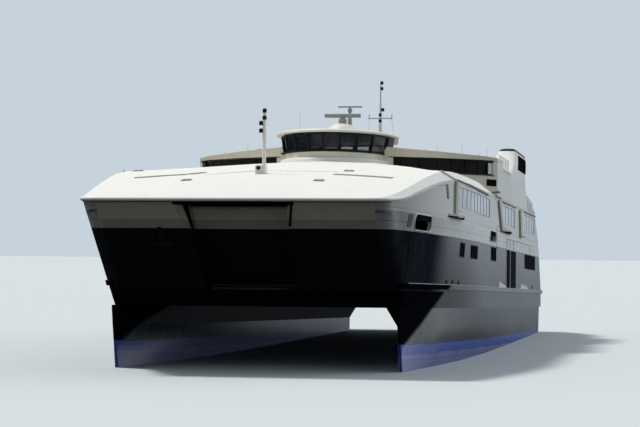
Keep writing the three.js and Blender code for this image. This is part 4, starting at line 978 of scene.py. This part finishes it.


# Covers of the ribs, the bead up the shoulder of the foremost one, and the half-round feet below, each with a
# painted shadow under it.
def addRibs(s, label, sign):
    covers, feet, footShadows = newMeshes(3)
    for top, foot, high, wide in s["ribs"]:
        low = s["ribFoot"]
        corners = ((foot - wide, low), (foot + wide, low), (top + wide, high), (top - wide, high))
        addSidePanel(covers, sign, corners, 0.17, 0.2, 2)
        if top == s["ribs"][0][0]:
            bead = []
            for k in range(7):
                x, t = top + s["beadRun"] - s["beadRun"] * k / 6, k / 6
                rise, inset = [table(lines["deck"], x, n) * (1 - t) for n in (3, 4)]
                bead.append((x, sign * (halfBreadth(x, sheer(x)) - inset), sheer(x) + rise))
            addTube(covers, bead, 0.11, 8)
    for middle, long, z in s["bosses"]:
        for target, low, high, out in ((feet, z, z + 0.16, 0.42), (footShadows, z - 0.06, z, 0.40)):
            arc = [math.pi * k / 16 for k in range(17)]
            plan = [(middle + long * math.cos(a), out * math.sin(a) - 0.03) for a in arc]
            addLoft(target, [[(*onSide(x, z, sign, y)[:2], up) for x, y in plan] for up in (low, high)])
    finishPiece(covers, "ribCovers_" + label, "ribShadeBeige", bevel=0.02)
    finishPiece(feet, "ribFeet_" + label, "ribShadeBeige", bevel=0.03)
    finishPiece(footShadows, "ribFeetShadows_" + label, "shadeBlack", smooth=60)


def addCabinPanes(s, label, sign):
    bars, panes = newMeshes(2)
    for aft, front, low, high, count in s["cabin"]:
        for k in range(1, count):
            x = aft + (front - aft) * k / count
            addSidePanel(bars, sign, oblong(x - 0.05, x + 0.05, low, high), -0.03, 0.12, 2)
        addSidePanel(bars, sign, oblong(aft, front, low, low + 0.07), -0.03, 0.12, 12)
        addSidePanel(panes, sign, oblong(aft, front, low, high), -0.05, 0.05, 14)
    finishPiece(panes, "cabinPanes_" + label, "paleGlass")
    finishPiece(bars, "cabinMullions_" + label, "mastPaint")


for label, sign in both:
    for build in (addSideWindows, addOpenings, addRailParts, addPlateEdges, addRibs, addCabinPanes):
        build(hullSide, label, sign)
print("hull sides done")

# wheelhouse: smooth roof with its mound, skirt, side panels, window fittings

bridge = {
    "aft": -1.6, "aftHalf": 2.9, "half": 4.1, "centre": 5.4, "reach": 6.6, "sill": 15.2, "lintel": 16.6,
    "roof": [(0.58, 16.603), (0.66, 16.63), (0.70, 16.68), (0.69, 16.73), (0.60, 16.79), (0.4, 16.845),
             (-0.3, 16.90), (-1.2, 16.96), (-2.2, 17.02)],    # how far outside the wheelhouse, height
    "moundX": 3.3,
    "mound": [    # half length, half width, height
        (2.7, 1.5, 16.9), (2.55, 1.35, 17.2), (2.4, 1.2, 17.46), (2.2, 1.04, 17.6), (2.0, 0.9, 17.71),
        (1.88, 0.8, 17.79), (1.7, 0.66, 17.823)],
    "skirt": [(0.42, 14.1), (0.42, 14.56), (0.38, 14.64), (0.3, 14.69), (0.0, 14.71)],
    "panel": (0.02, 1.0, 15.16, 16.6, 0.02),    # share of the side from and to, z low and high, how far out
    "door": (0.42, 0.9, 15.25, 16.5, 0.04),
    "wipers": (-66, -48, -32, -15, 1, 17, 33, 49, 66),    # degrees from ahead
    "wiperOut": (0.16, 0.289),    # how far foot and tip stand outside the sill's line
}


def roundFront(b, angle, grow):
    return b["centre"] + (b["reach"] + grow) * math.cos(angle), (b["half"] + grow) * math.sin(angle)


def bridgeFront(b, grow, z, steps=48):
    return [(*roundFront(b, math.pi * (i / steps - 0.5), grow), z) for i in range(steps + 1)]


def bridgeLine(b, grow, z):
    corner = b["aftHalf"] + grow
    return bridgeFront(b, grow, z) + [(b["aft"] - grow, corner, z), (b["aft"] - grow, -corner, z)]


def addBridgeRoof(b, steps=40):
    bm = bmesh.new()
    addLoft(bm, [bridgeLine(b, grow, z) for grow, z in b["roof"]])
    turns = [2 * math.pi * k / steps for k in range(steps)]
    addLoft(bm, [[(b["moundX"] + long * math.cos(a), wide * math.sin(a), z) for a in turns]
                 for long, wide, z in b["mound"]])
    roof = finishPiece(bm, "wheelhouseRoof", "creamRoof", smooth=50)
    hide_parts("wheelhouse_roof")
    bm = bmesh.new()
    addLoft(bm, [bridgeLine(b, grow, z) for grow, z in b["skirt"]])
    finishPiece(bm, "wheelhouseSkirt", "deckWhite", smooth=60)


def bridgeLean(b, z):
    return 0.1 + 0.25 * (z - b["sill"]) / (b["lintel"] - b["sill"])


def addBridgePanel(bm, b, sign, start, end, low, high, out):
    rings = []
    for t in (start, end):
        x = b["centre"] + (b["aft"] - b["centre"]) * t
        y = b["half"] + (b["aftHalf"] - b["half"]) * t
        rings.append([(x, sign * (y + bridgeLean(b, z) + off), z) for z, off in thin(low, high, out, 0.05)])
    addLoft(bm, rings)


def addWipers(b):
    bm = bmesh.new()
    sill = b["sill"]
    footOut, tipOut = b["wiperOut"]
    for degrees in b["wipers"]:
        angle = math.radians(degrees)
        x, y = roundFront(b, angle, footOut)
        addBlock(bm, x, y, 0.07, 0.19, sill - 0.04, sill + 0.1)
        tipX, tipY = roundFront(b, angle + 0.07, tipOut)
        addTube(bm, [(x, y, sill + 0.05), (tipX, tipY, sill + 0.8)], 0.018)
        addTube(bm, [(tipX, tipY, sill + 0.4), (tipX + 0.02, tipY, sill + 1.05)], 0.02)
    finishPiece(bm, "windowWipers", "blackTrim")


def buildWheelhouse(b):
    addBridgeRoof(b)
    panels, doors, sill = newMeshes(3)
    for _, sign in both:
        addBridgePanel(panels, b, sign, *b["panel"])
        addBridgePanel(doors, b, sign, *b["door"])
    finishPiece(panels, "wheelhouseSidePanels", "cream")
    finishPiece(doors, "wheelhouseDoors", "greyPaint", bevel=0.01)
    addWipers(b)
    addTube(sill, bridgeFront(b, 0.12, b["sill"] - 0.02), 0.05, 8)
    finishPiece(sill, "wheelhouseSill", "blackTrim", smooth=60)


buildWheelhouse(bridge)
print("wheelhouse done")

# lounge front and wings: louvre, a pane lit by painted light, edge plate and window posts

lounge = {
    "front": [(7.6, 3.8), (5.6, 8), (3.2, 11), (1.6, 12.15)],
    "louvre": (0.36, 0.95, 13.03, 13.56),    # along the last stretch of the front, z low and high
    "slats": 5,
    "pane": (0.50, 0.78, 13.98, 14.86),
    "posts": [(0, 0.35), (0, 0.68), (1, 0.0), (1, 0.34), (1, 0.67), (2, 0.0)],    # stretch, share along it
    "postHeights": (13.92, 14.98),
    "trims": [(0, 0.12, 1.0), (1, 0.0, 1.0), (2, 0.0, 0.82)],
    "trimHeights": (13.86, 15.02),
    "plate": [(2.75, 11.35), (1.75, 12.3), (0.6, 12.34), (0.6, 11.6), (1.6, 11.35)],    # x, y
    "plateRise": (12.32, 0.26),    # height at its inner edge, rise for each metre outwards
    "plateThick": 0.12,
}


def onFront(s, part, t, sign, z, out):
    (xa, ya), (xb, yb) = s["front"][part], s["front"][part + 1]
    long = Vector((xb - xa, yb - ya)).normalized()
    return (xa + (xb - xa) * t + long.y * out, sign * (ya + (yb - ya) * t - long.x * out), z)


def addFrontPanel(bm, s, part, span, sign, low, high, out, deep):
    addLoft(bm, [[onFront(s, part, t, sign, z, o) for z, o in thin(low, high, out, deep)] for t in span])


def buildLounge(s):
    black, plate, posts, trim = newMeshes(4)
    wing = len(s["front"]) - 2
    for label, sign in both:
        a, b, low, high = s["louvre"]
        addFrontPanel(black, s, wing, (a, b), sign, low, high, 0.02, 0.05)
        for k in range(s["slats"]):
            z = low + 0.06 + (high - low - 0.12) * k / (s["slats"] - 1)
            addFrontPanel(black, s, wing, (a + 0.02, b - 0.02), sign, z - 0.02, z + 0.02, 0.05, 0.05)
        a, b, low, high = s["pane"]
        pane = bmesh.new()
        addFrontPanel(pane, s, wing, (a, b), sign, low, high, -0.06, 0.05)
        # the port pane has pale glass as painted light, for daylight seen through the wing's corner; the
        # starboard pane has dark glass
        finishPiece(pane, "wingPane_" + label, "paleGlass" if sign > 0 else "darkGlass")
        for part, t in s["posts"]:
            addFrontPanel(posts, s, part, (t - 0.008, t + 0.008), sign, *s["postHeights"], -0.13, 0.06)
        start, rise = s["plateRise"]
        inner = min(y for _, y in s["plate"])
        addLoft(plate, [[(x, sign * y, start + (y - inner) * rise + up) for x, y in s["plate"]]
                        for up in (0, s["plateThick"])])
        for z in s["trimHeights"]:
            for part, start, end in s["trims"]:
                addTube(trim, [onFront(s, part, t, sign, z, 0.02) for t in (start, end)], 0.035)
    # the louvres are flat black as painted shade
    finishPiece(black, "wingLouvres", "shadeBlack", bevel=0.005)
    finishPiece(posts, "loungeWindowPosts", "blackTrim")
    # the edge plate's olive stands for its white plating in painted shade
    finishPiece(plate, "wingEdgePlates", "olive", bevel=0.02)
    finishPiece(trim, "loungeWindowTrim", "blackTrim", smooth=60)


buildLounge(lounge)
print("lounge done")

# funnels: rounded casing, black mouth and louvres in painted shade

funnel = {    # levels and cap: z, x front, x aft, y inner, y outer, rounding
    "levels": [
        (12.303, -11.7, -28.2, 9.6, 11.97, 0.25), (13.5, -12.0, -27.0, 9.67, 11.97, 0.28),
        (14.6, -12.5, -25.9, 9.75, 11.97, 0.3), (15.2, -13.3, -25.65, 9.82, 11.96, 0.38),
        (15.6, -14.2, -25.7, 9.9, 11.95, 0.45), (15.9, -14.85, -26.4, 9.97, 11.93, 0.5),
        (16.2, -15.4, -27.2, 10.05, 11.9, 0.55), (16.55, -16.0, -27.75, 10.14, 11.86, 0.6),
        (16.9, -16.6, -28.0, 10.25, 11.8, 0.62), (17.1, -16.95, -27.98, 10.32, 11.77, 0.62),
        (17.18, -17.08, -27.96, 10.36, 11.76, 0.62)],
    "cap": [
        (17.16, -17.0, -28.0, 10.33, 11.78, 0.62), (17.27, -17.25, -27.93, 10.40, 11.755, 0.61),
        (17.36, -17.5, -27.8, 10.48, 11.69, 0.58), (17.4, -17.75, -27.5, 10.58, 11.6, 0.52),
        (17.36, -18.0, -27.2, 10.66, 11.52, 0.45), (17.0, -18.2, -27.0, 10.7, 11.48, 0.4)],
    "louvres": (-27.6, -19.9, 15.55, 16.95, 9),    # x aft and front, z low and high, slats
    "slat": (0.2, 0.75),    # start and end of each from its place in the row
    "lean": 1.25,
    "pipes": (-20.2, -22.6, -25.0),
    "pipeY": 11.08,
    "pipe": ((16.9, 17.3), 0.34, 20),    # heights, radius, sides
}


def funnelRing(level, sign, steps=6):
    z, front, aft, inner, outer, turn = level
    ring = []
    for quarter, (x, y) in enumerate(((front - turn, outer - turn), (aft + turn, outer - turn),
                                      (aft + turn, inner + turn), (front - turn, inner + turn))):
        for k in range(steps + 1):
            angle = (quarter + k / steps) * math.pi / 2
            ring.append((x + turn * math.cos(angle), sign * (y + turn * math.sin(angle)), z))
    return ring


# A strip of the louvres that stands off the casing and leans with it.
def addFunnelStrip(bm, s, sign, start, end, out, deep):
    surface = [(level[0], level[4]) for level in s["levels"]]
    _, _, low, high, _ = s["louvres"]
    rings = []
    for z in (low, (low + high) / 2, high):
        y = table(surface, z, 1)
        lean = (high - z) * s["lean"]
        rings.append([(x + lean, sign * (y + off), z) for x, off in thin(start, end, out, deep)])
    addLoft(bm, rings)


def buildFunnels(s):
    for label, sign in both:
        shell, mouth, back, slats = newMeshes(4)
        addLoft(shell, [funnelRing(level, sign) for level in s["levels"]])
        casing = finishPiece(shell, "funnelCasing_" + label, "topWhite", smooth=40)
        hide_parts("funnel_" + label)
        addLoft(mouth, [funnelRing(level, sign) for level in s["cap"]])
        for x in s["pipes"]:
            addPost(mouth, x, sign * s["pipeY"], *s["pipe"])
        finishPiece(mouth, "funnelMouth_" + label, "soot", smooth=45)
        aft, front, _, _, count = s["louvres"]
        addFunnelStrip(back, s, sign, aft, front, 0.012, 0.03)
        for k in range(count):
            start, end = [aft + edge + (front - aft - 0.3) * k / count for edge in s["slat"]]
            addFunnelStrip(slats, s, sign, start, end, 0.03, 0.04)
        finishPiece(back, "funnelLouvreBacks_" + label, "shadeBlack")
        finishPiece(slats, "funnelLouvres_" + label, "shadeBlack")


buildFunnels(funnel)
print("funnels done")

# masts: dark lanterns, rungs, stays and scanners, and the whips and small aerials on the roofs

masts = {
    "foreX": 33.7,
    "foreLamps": [(16.34, 0.0), (15.88, 0.0), (15.52, -0.22), (15.02, -0.22)],    # z, y
    "mainX": -15.6,
    "mainLamps": [(23.1, 0.1), (22.6, 0.1), (20.72, 0.2), (20.27, -0.02), (19.74, -0.02)],
    "lamp": 0.14,
    "footLamp": (34.1, -0.3, (12.42, 12.62), 0.12),    # x, y, heights, radius
    "rungs": [    # x, half width, z of the lowest, step, how many, radius
        (33.6, 0.16, 12.9, 0.36, 9, 0.016), (-15.72, 0.2, 15.2, 0.4, 12, 0.018)],
    "stays": [    # y and z at the mast, x aft of it, y and z of the foot
        (0.98, 19.95, -1.2, 1.6, 14.9), (0, 19.6, 2.4, 1.2, 14.9)],
    "whips": [    # x, y, height over the roof
        (0.8, -10.3, 0.6), (0.6, -8.4, 1.3), (0.8, -6.9, 0.9), (0.5, -4.1, 3.4), (0.8, 6.2, 0.5),
        (0.6, 7.2, 0.7), (0.8, 8.6, 0.5), (0.5, 9.2, 1.0), (0.8, 10.6, 0.5), (0.6, 11.2, 0.8)],
    "roof": (15.27, 0.5, 12.15, 8.35),    # height of its edge, rise, y of the edge, width of the rise
    "domes": [(-6.5, 5.6, 0.42), (-6.5, -5.6, 0.42), (-8.2, 0.0, 0.3)],    # x, y, radius
    "domeFoot": 14.85,
    "scanners": {    # x, y, z of the foot, width, depth, height, radius of the hub
        "lower": (4.3, 0.1, 18.34, 2.9, 0.3, 0.32, 0.18),
        "upper": (2.4, 0.35, 19.31, 1.95, 0.16, 0.12, 0.07)},
}


def addLanterns(s):
    bm = bmesh.new()
    sizes = [s["lamp"] * share for share in (0.8, 1.0, 1.0, 0.7)]
    for x, lamps in ((s["foreX"], s["foreLamps"]), (s["mainX"], s["mainLamps"])):
        for z, y in lamps:
            addPost(bm, x, y, (z - 0.15, z - 0.12, z + 0.1, z + 0.15), sizes, 16)
    addPost(bm, *s["footLamp"], 14)
    finishPiece(bm, "mastLanterns", "soot", smooth=45)


def addRungsAndStays(s):
    bm = bmesh.new()
    for x, half, low, step, count, radius in s["rungs"]:
        for k in range(count):
            addTube(bm, [(x, -half, low + step * k), (x, half, low + step * k)], radius)
    for k in (-1, 1):
        for y, z, aft, footY, footZ in s["stays"]:
            addTube(bm, [(s["mainX"], k * y, z), (s["mainX"] + aft, k * footY, footZ)], 0.014)
    finishPiece(bm, "mastRungsAndStays", "mastPaint", smooth=60)


def addAerials(s):
    whips, domes = newMeshes(2)
    low, rise, edge, over = s["roof"]
    for x, y, tall in s["whips"]:
        foot = low + rise * min(1, (edge - abs(y)) / over)
        addPost(whips, x, y, (foot, foot + 0.14, foot + 0.15, foot + tall), [0.06, 0.06, 0.022, 0.012], 8)
    turns = [math.pi * k / 10 for k in range(1, 10)]
    for x, y, size in s["domes"]:
        foot = s["domeFoot"]
        addPost(domes, x, y, (foot - 0.02, foot + 0.4), 0.09, 12)
        heights = [foot + 0.4 + size - size * math.cos(a) for a in turns]
        addPost(domes, x, y, heights, [size * math.sin(a) for a in turns], 24)
    finishPiece(whips, "roofWhips", "mastPaint", smooth=60)
    finishPiece(domes, "satelliteDomes", "raftWhite", smooth=60)


def addScanners(s):
    section = [(-0.5, -0.5), (0.3, -0.5), (0.5, -0.3), (0.5, 0.3), (0.3, 0.5), (-0.5, 0.5)]
    for name, (x, y, z, wide, deep, high, hub) in s["scanners"].items():
        bm = bmesh.new()
        rings = []
        for k, size in ((-1, 0.8), (-0.97, 1.0), (0.97, 1.0), (1, 0.8)):
            rings.append([(x + dx * deep * size, y + k * wide / 2, z + high / 2 + dz * high * size)
                          for dx, dz in section])
        addLoft(bm, rings)
        addPost(bm, x, y, (z - 0.097, z + 0.05), hub, 20)
        body = "radar_scanner_" + name
        piece = finishPiece(bm, "scanner_" + name, "radarGrey", body=body, bevel=0.012)
        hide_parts("radar_scanner_" + name)


for build in (addLanterns, addRungsAndStays, addAerials, addScanners):
    build(masts)
print("masts done")

# aft decks: rails, rafts, vents, benches and the windows of the aft wall

aftDeck = {
    "deck": 12.28,
    "rails": [    # lines of x, y, z on one side
        [(-3.4, 11.8, 14.84), (-11.2, 11.8, 14.84)],
        [(-28.0, 9.3, 14.84), (-28.0, 0.4, 14.84)],
        [(-28.4, 11.72, 12.9), (-35.7, 11.72, 12.35), (-36.0, 11.5, 12.29), (-36.0, 0.3, 12.29)]],
    "bars": [(0.36, 0.02), (0.68, 0.02), (1.0, 0.028)],    # height of each over the deck, radius
    "postGap": 1.2,
    "rafts": (-30.2, -32.4, -34.4),    # x of each
    "raftY": 10.9,
    "raftZ": 12.95,
    "raft": (0.85, 0.36),    # half length, radius
    "strap": (0.45, 0.03, 0.385),    # from the middle, half width, radius
    "cradleTop": 12.68,
    "vents": [(-14.5, 4.2), (-14.5, -4.2), (-19.5, 2.6), (-19.5, -2.6), (-24.5, 5.0), (-24.5, -5.0)],
    "ventBoxes": [    # half length and width, z low and high
        (0.5, 0.7, 14.82, 15.2), (0.58, 0.78, 15.24, 15.32)],
    "ventFeet": (0.42, 0.6),    # x and y from the middle
    "ventFoot": (0.04, 0.04, 15.18, 15.26),
    "benches": (-31.0, -33.0, -35.0),    # x of each row
    "benchY": (1.6, 3.5, 5.4, 7.3),
    "benchBoxes": [(0.0, 0.25, 12.72, 12.79), (-0.26, 0.04, 12.79, 13.15)],    # x, half depth, z low and high
    "benchHalf": 0.8,
    "benchFeet": 0.6,
    "wall": ((-38.6, 9.4), (-36.1, 12.05)),    # x and z of the aft wall's foot and top
    "windows": (-8, -3, 3, 8),    # y of each middle
    "windowHalf": 1.4,
    "windowHeights": (10.4, 11.7),
}


def addRail(posts, bars, s, line):
    for a, b in zip(line, line[1:]):
        a, b = Vector(a), Vector(b)
        count = max(1, round((b - a).length / s["postGap"]))
        for k in range(count + 1):
            p = a.lerp(b, k / count)
            addPost(posts, p.x, p.y, (p.z, p.z + 1.0), 0.03)
        for level, radius in s["bars"]:
            addTube(bars, [p + Vector((0, 0, level)) for p in (a, b)], radius)


def addRails(s):
    posts, bars = newMeshes(2)
    for _, sign in both:
        for line in s["rails"]:
            addRail(posts, bars, s, [(x, sign * y, z) for x, y, z in line])
    finishPiece(posts, "railPosts", "mastPaint", smooth=60)
    finishPiece(bars, "railBars", "mastPaint", smooth=60)


def addRafts(s):
    rafts, cradles, straps = newMeshes(3)
    turns = [math.pi * k / 8 for k in range(1, 8)]
    z = s["raftZ"]
    half, radius = s["raft"]
    off, wide, size = s["strap"]
    for _, sign in both:
        y = sign * s["raftY"]
        for x in s["rafts"]:
            addTube(rafts, [(x - half * math.cos(a), y, z) for a in turns],
                    [radius * min(1, 1.35 * math.sin(a)) for a in turns], 20)
            for dx in (-off, off):
                addBlock(cradles, x + dx, y, 0.05, radius, s["deck"], s["cradleTop"])
                addTube(straps, [(x + dx - wide, y, z), (x + dx + wide, y, z)], size, 20)
    finishPiece(rafts, "lifeRafts", "raftWhite", smooth=60)
    finishPiece(cradles, "raftCradles", "greyPaint", bevel=0.01)
    finishPiece(straps, "raftStraps", "blackTrim", smooth=60)


def addVentsAndBenches(s):
    vents, seats = newMeshes(2)
    footX, footY = s["ventFeet"]
    for x, y in s["vents"]:
        for size in s["ventBoxes"]:
            addBlock(vents, x, y, *size)
        for dx in (-footX, footX):
            for dy in (-footY, footY):
                addBlock(vents, x + dx, y + dy, *s["ventFoot"])
    for x in s["benches"]:
        for _, sign in both:
            for y in [sign * y for y in s["benchY"]]:
                for dx, deep, low, high in s["benchBoxes"]:
                    addBlock(seats, x + dx, y, deep, s["benchHalf"], low, high)
                for dy in (-s["benchFeet"], s["benchFeet"]):
                    addBlock(seats, x, y + dy, 0.05, 0.05, s["deck"], 12.73)
    finishPiece(vents, "roofVents", "topWhite", bevel=0.02)
    finishPiece(seats, "deckBenches", "greyPaint", bevel=0.01)


def addAftWindows(s):
    bm = bmesh.new()
    half = s["windowHalf"]
    low, high = s["windowHeights"]
    for y in s["windows"]:
        for z in (low, high):
            addTube(bm, [(onSlope(*s["wall"], z) - 0.02, y + k * half, z) for k in (-1, 1)], 0.05)
        for dy in (-half, 0, half):
            addTube(bm, [(onSlope(*s["wall"], z) - 0.02, y + dy, z) for z in (low, high)], 0.05)
        ring = [(onSlope(*s["wall"], z) + 0.1, y + dy, z) for dy, z in oblong(-half, half, low, high, 0.02)]
        addLoft(bm, [ring, [(x + 0.05, yy, z) for x, yy, z in ring]])
    finishPiece(bm, "aftWindows", "darkGlass")


for build in (addRails, addRafts, addVentsAndBenches, addAftWindows):
    build(aftDeck)
print("aft decks done")

# stern: ribs and bands of the ramps, fender bars and steps between them

stern = {
    "wall": ((-43.3, 4.94), (-39.7, 9.93)),    # x and z of its foot and top
    "foot": 4.75, "top": 8.8, "rampY": 5.2, "rampHalf": 3.85,
    "ribs": (2.2, 3.7, 5.2, 6.7, 8.2),    # y of each on the ramp
    "bands": 6,
    "fenders": (-9.6, -0.9, 0.9, 9.6),
    "steps": (5.6, 6.8, 8.0),
    "stepY": 10.8,
}


def buildStern(s):
    low, high = s["foot"] + 0.35, s["top"] - 0.12
    for label, sign in both:
        bm = bmesh.new()
        for y in s["ribs"]:
            addLoft(bm, [[(onSlope(*s["wall"], z) + out, sign * y + wide, z) for out, wide in (
                (0.13, -0.07), (0.13, 0.07), (0.01, 0.05), (0.01, -0.05))] for z in (low, high)])
        for k in range(s["bands"]):
            z = s["foot"] + 0.45 + (s["top"] - s["foot"] - 0.7) * k / (s["bands"] - 1)
            x = onSlope(*s["wall"], z) + 0.1
            addBlock(bm, x, sign * s["rampY"], 0.05, s["rampHalf"], z - 0.05, z + 0.05)
        body = "stern_ramp_" + label
        finishPiece(bm, "sternRampRibs_" + label, "topWhite", body=body, bevel=0.01)
    bm = bmesh.new()
    for y in s["fenders"]:
        addTube(bm, [(onSlope(*s["wall"], at) - 0.05, y, z) for at, z in ((5.2, 5.0), (8.9, 8.9))], 0.12, 12)
    for _, sign in both:
        for z in s["steps"]:
            x = onSlope(*s["wall"], z) - 0.01
            addBlock(bm, x, sign * s["stepY"], 0.07, 0.6, z - 0.06, z + 0.06)
    finishPiece(bm, "sternFenders", "navyTrim", bevel=0.02)


buildStern(stern)
print("stern done")
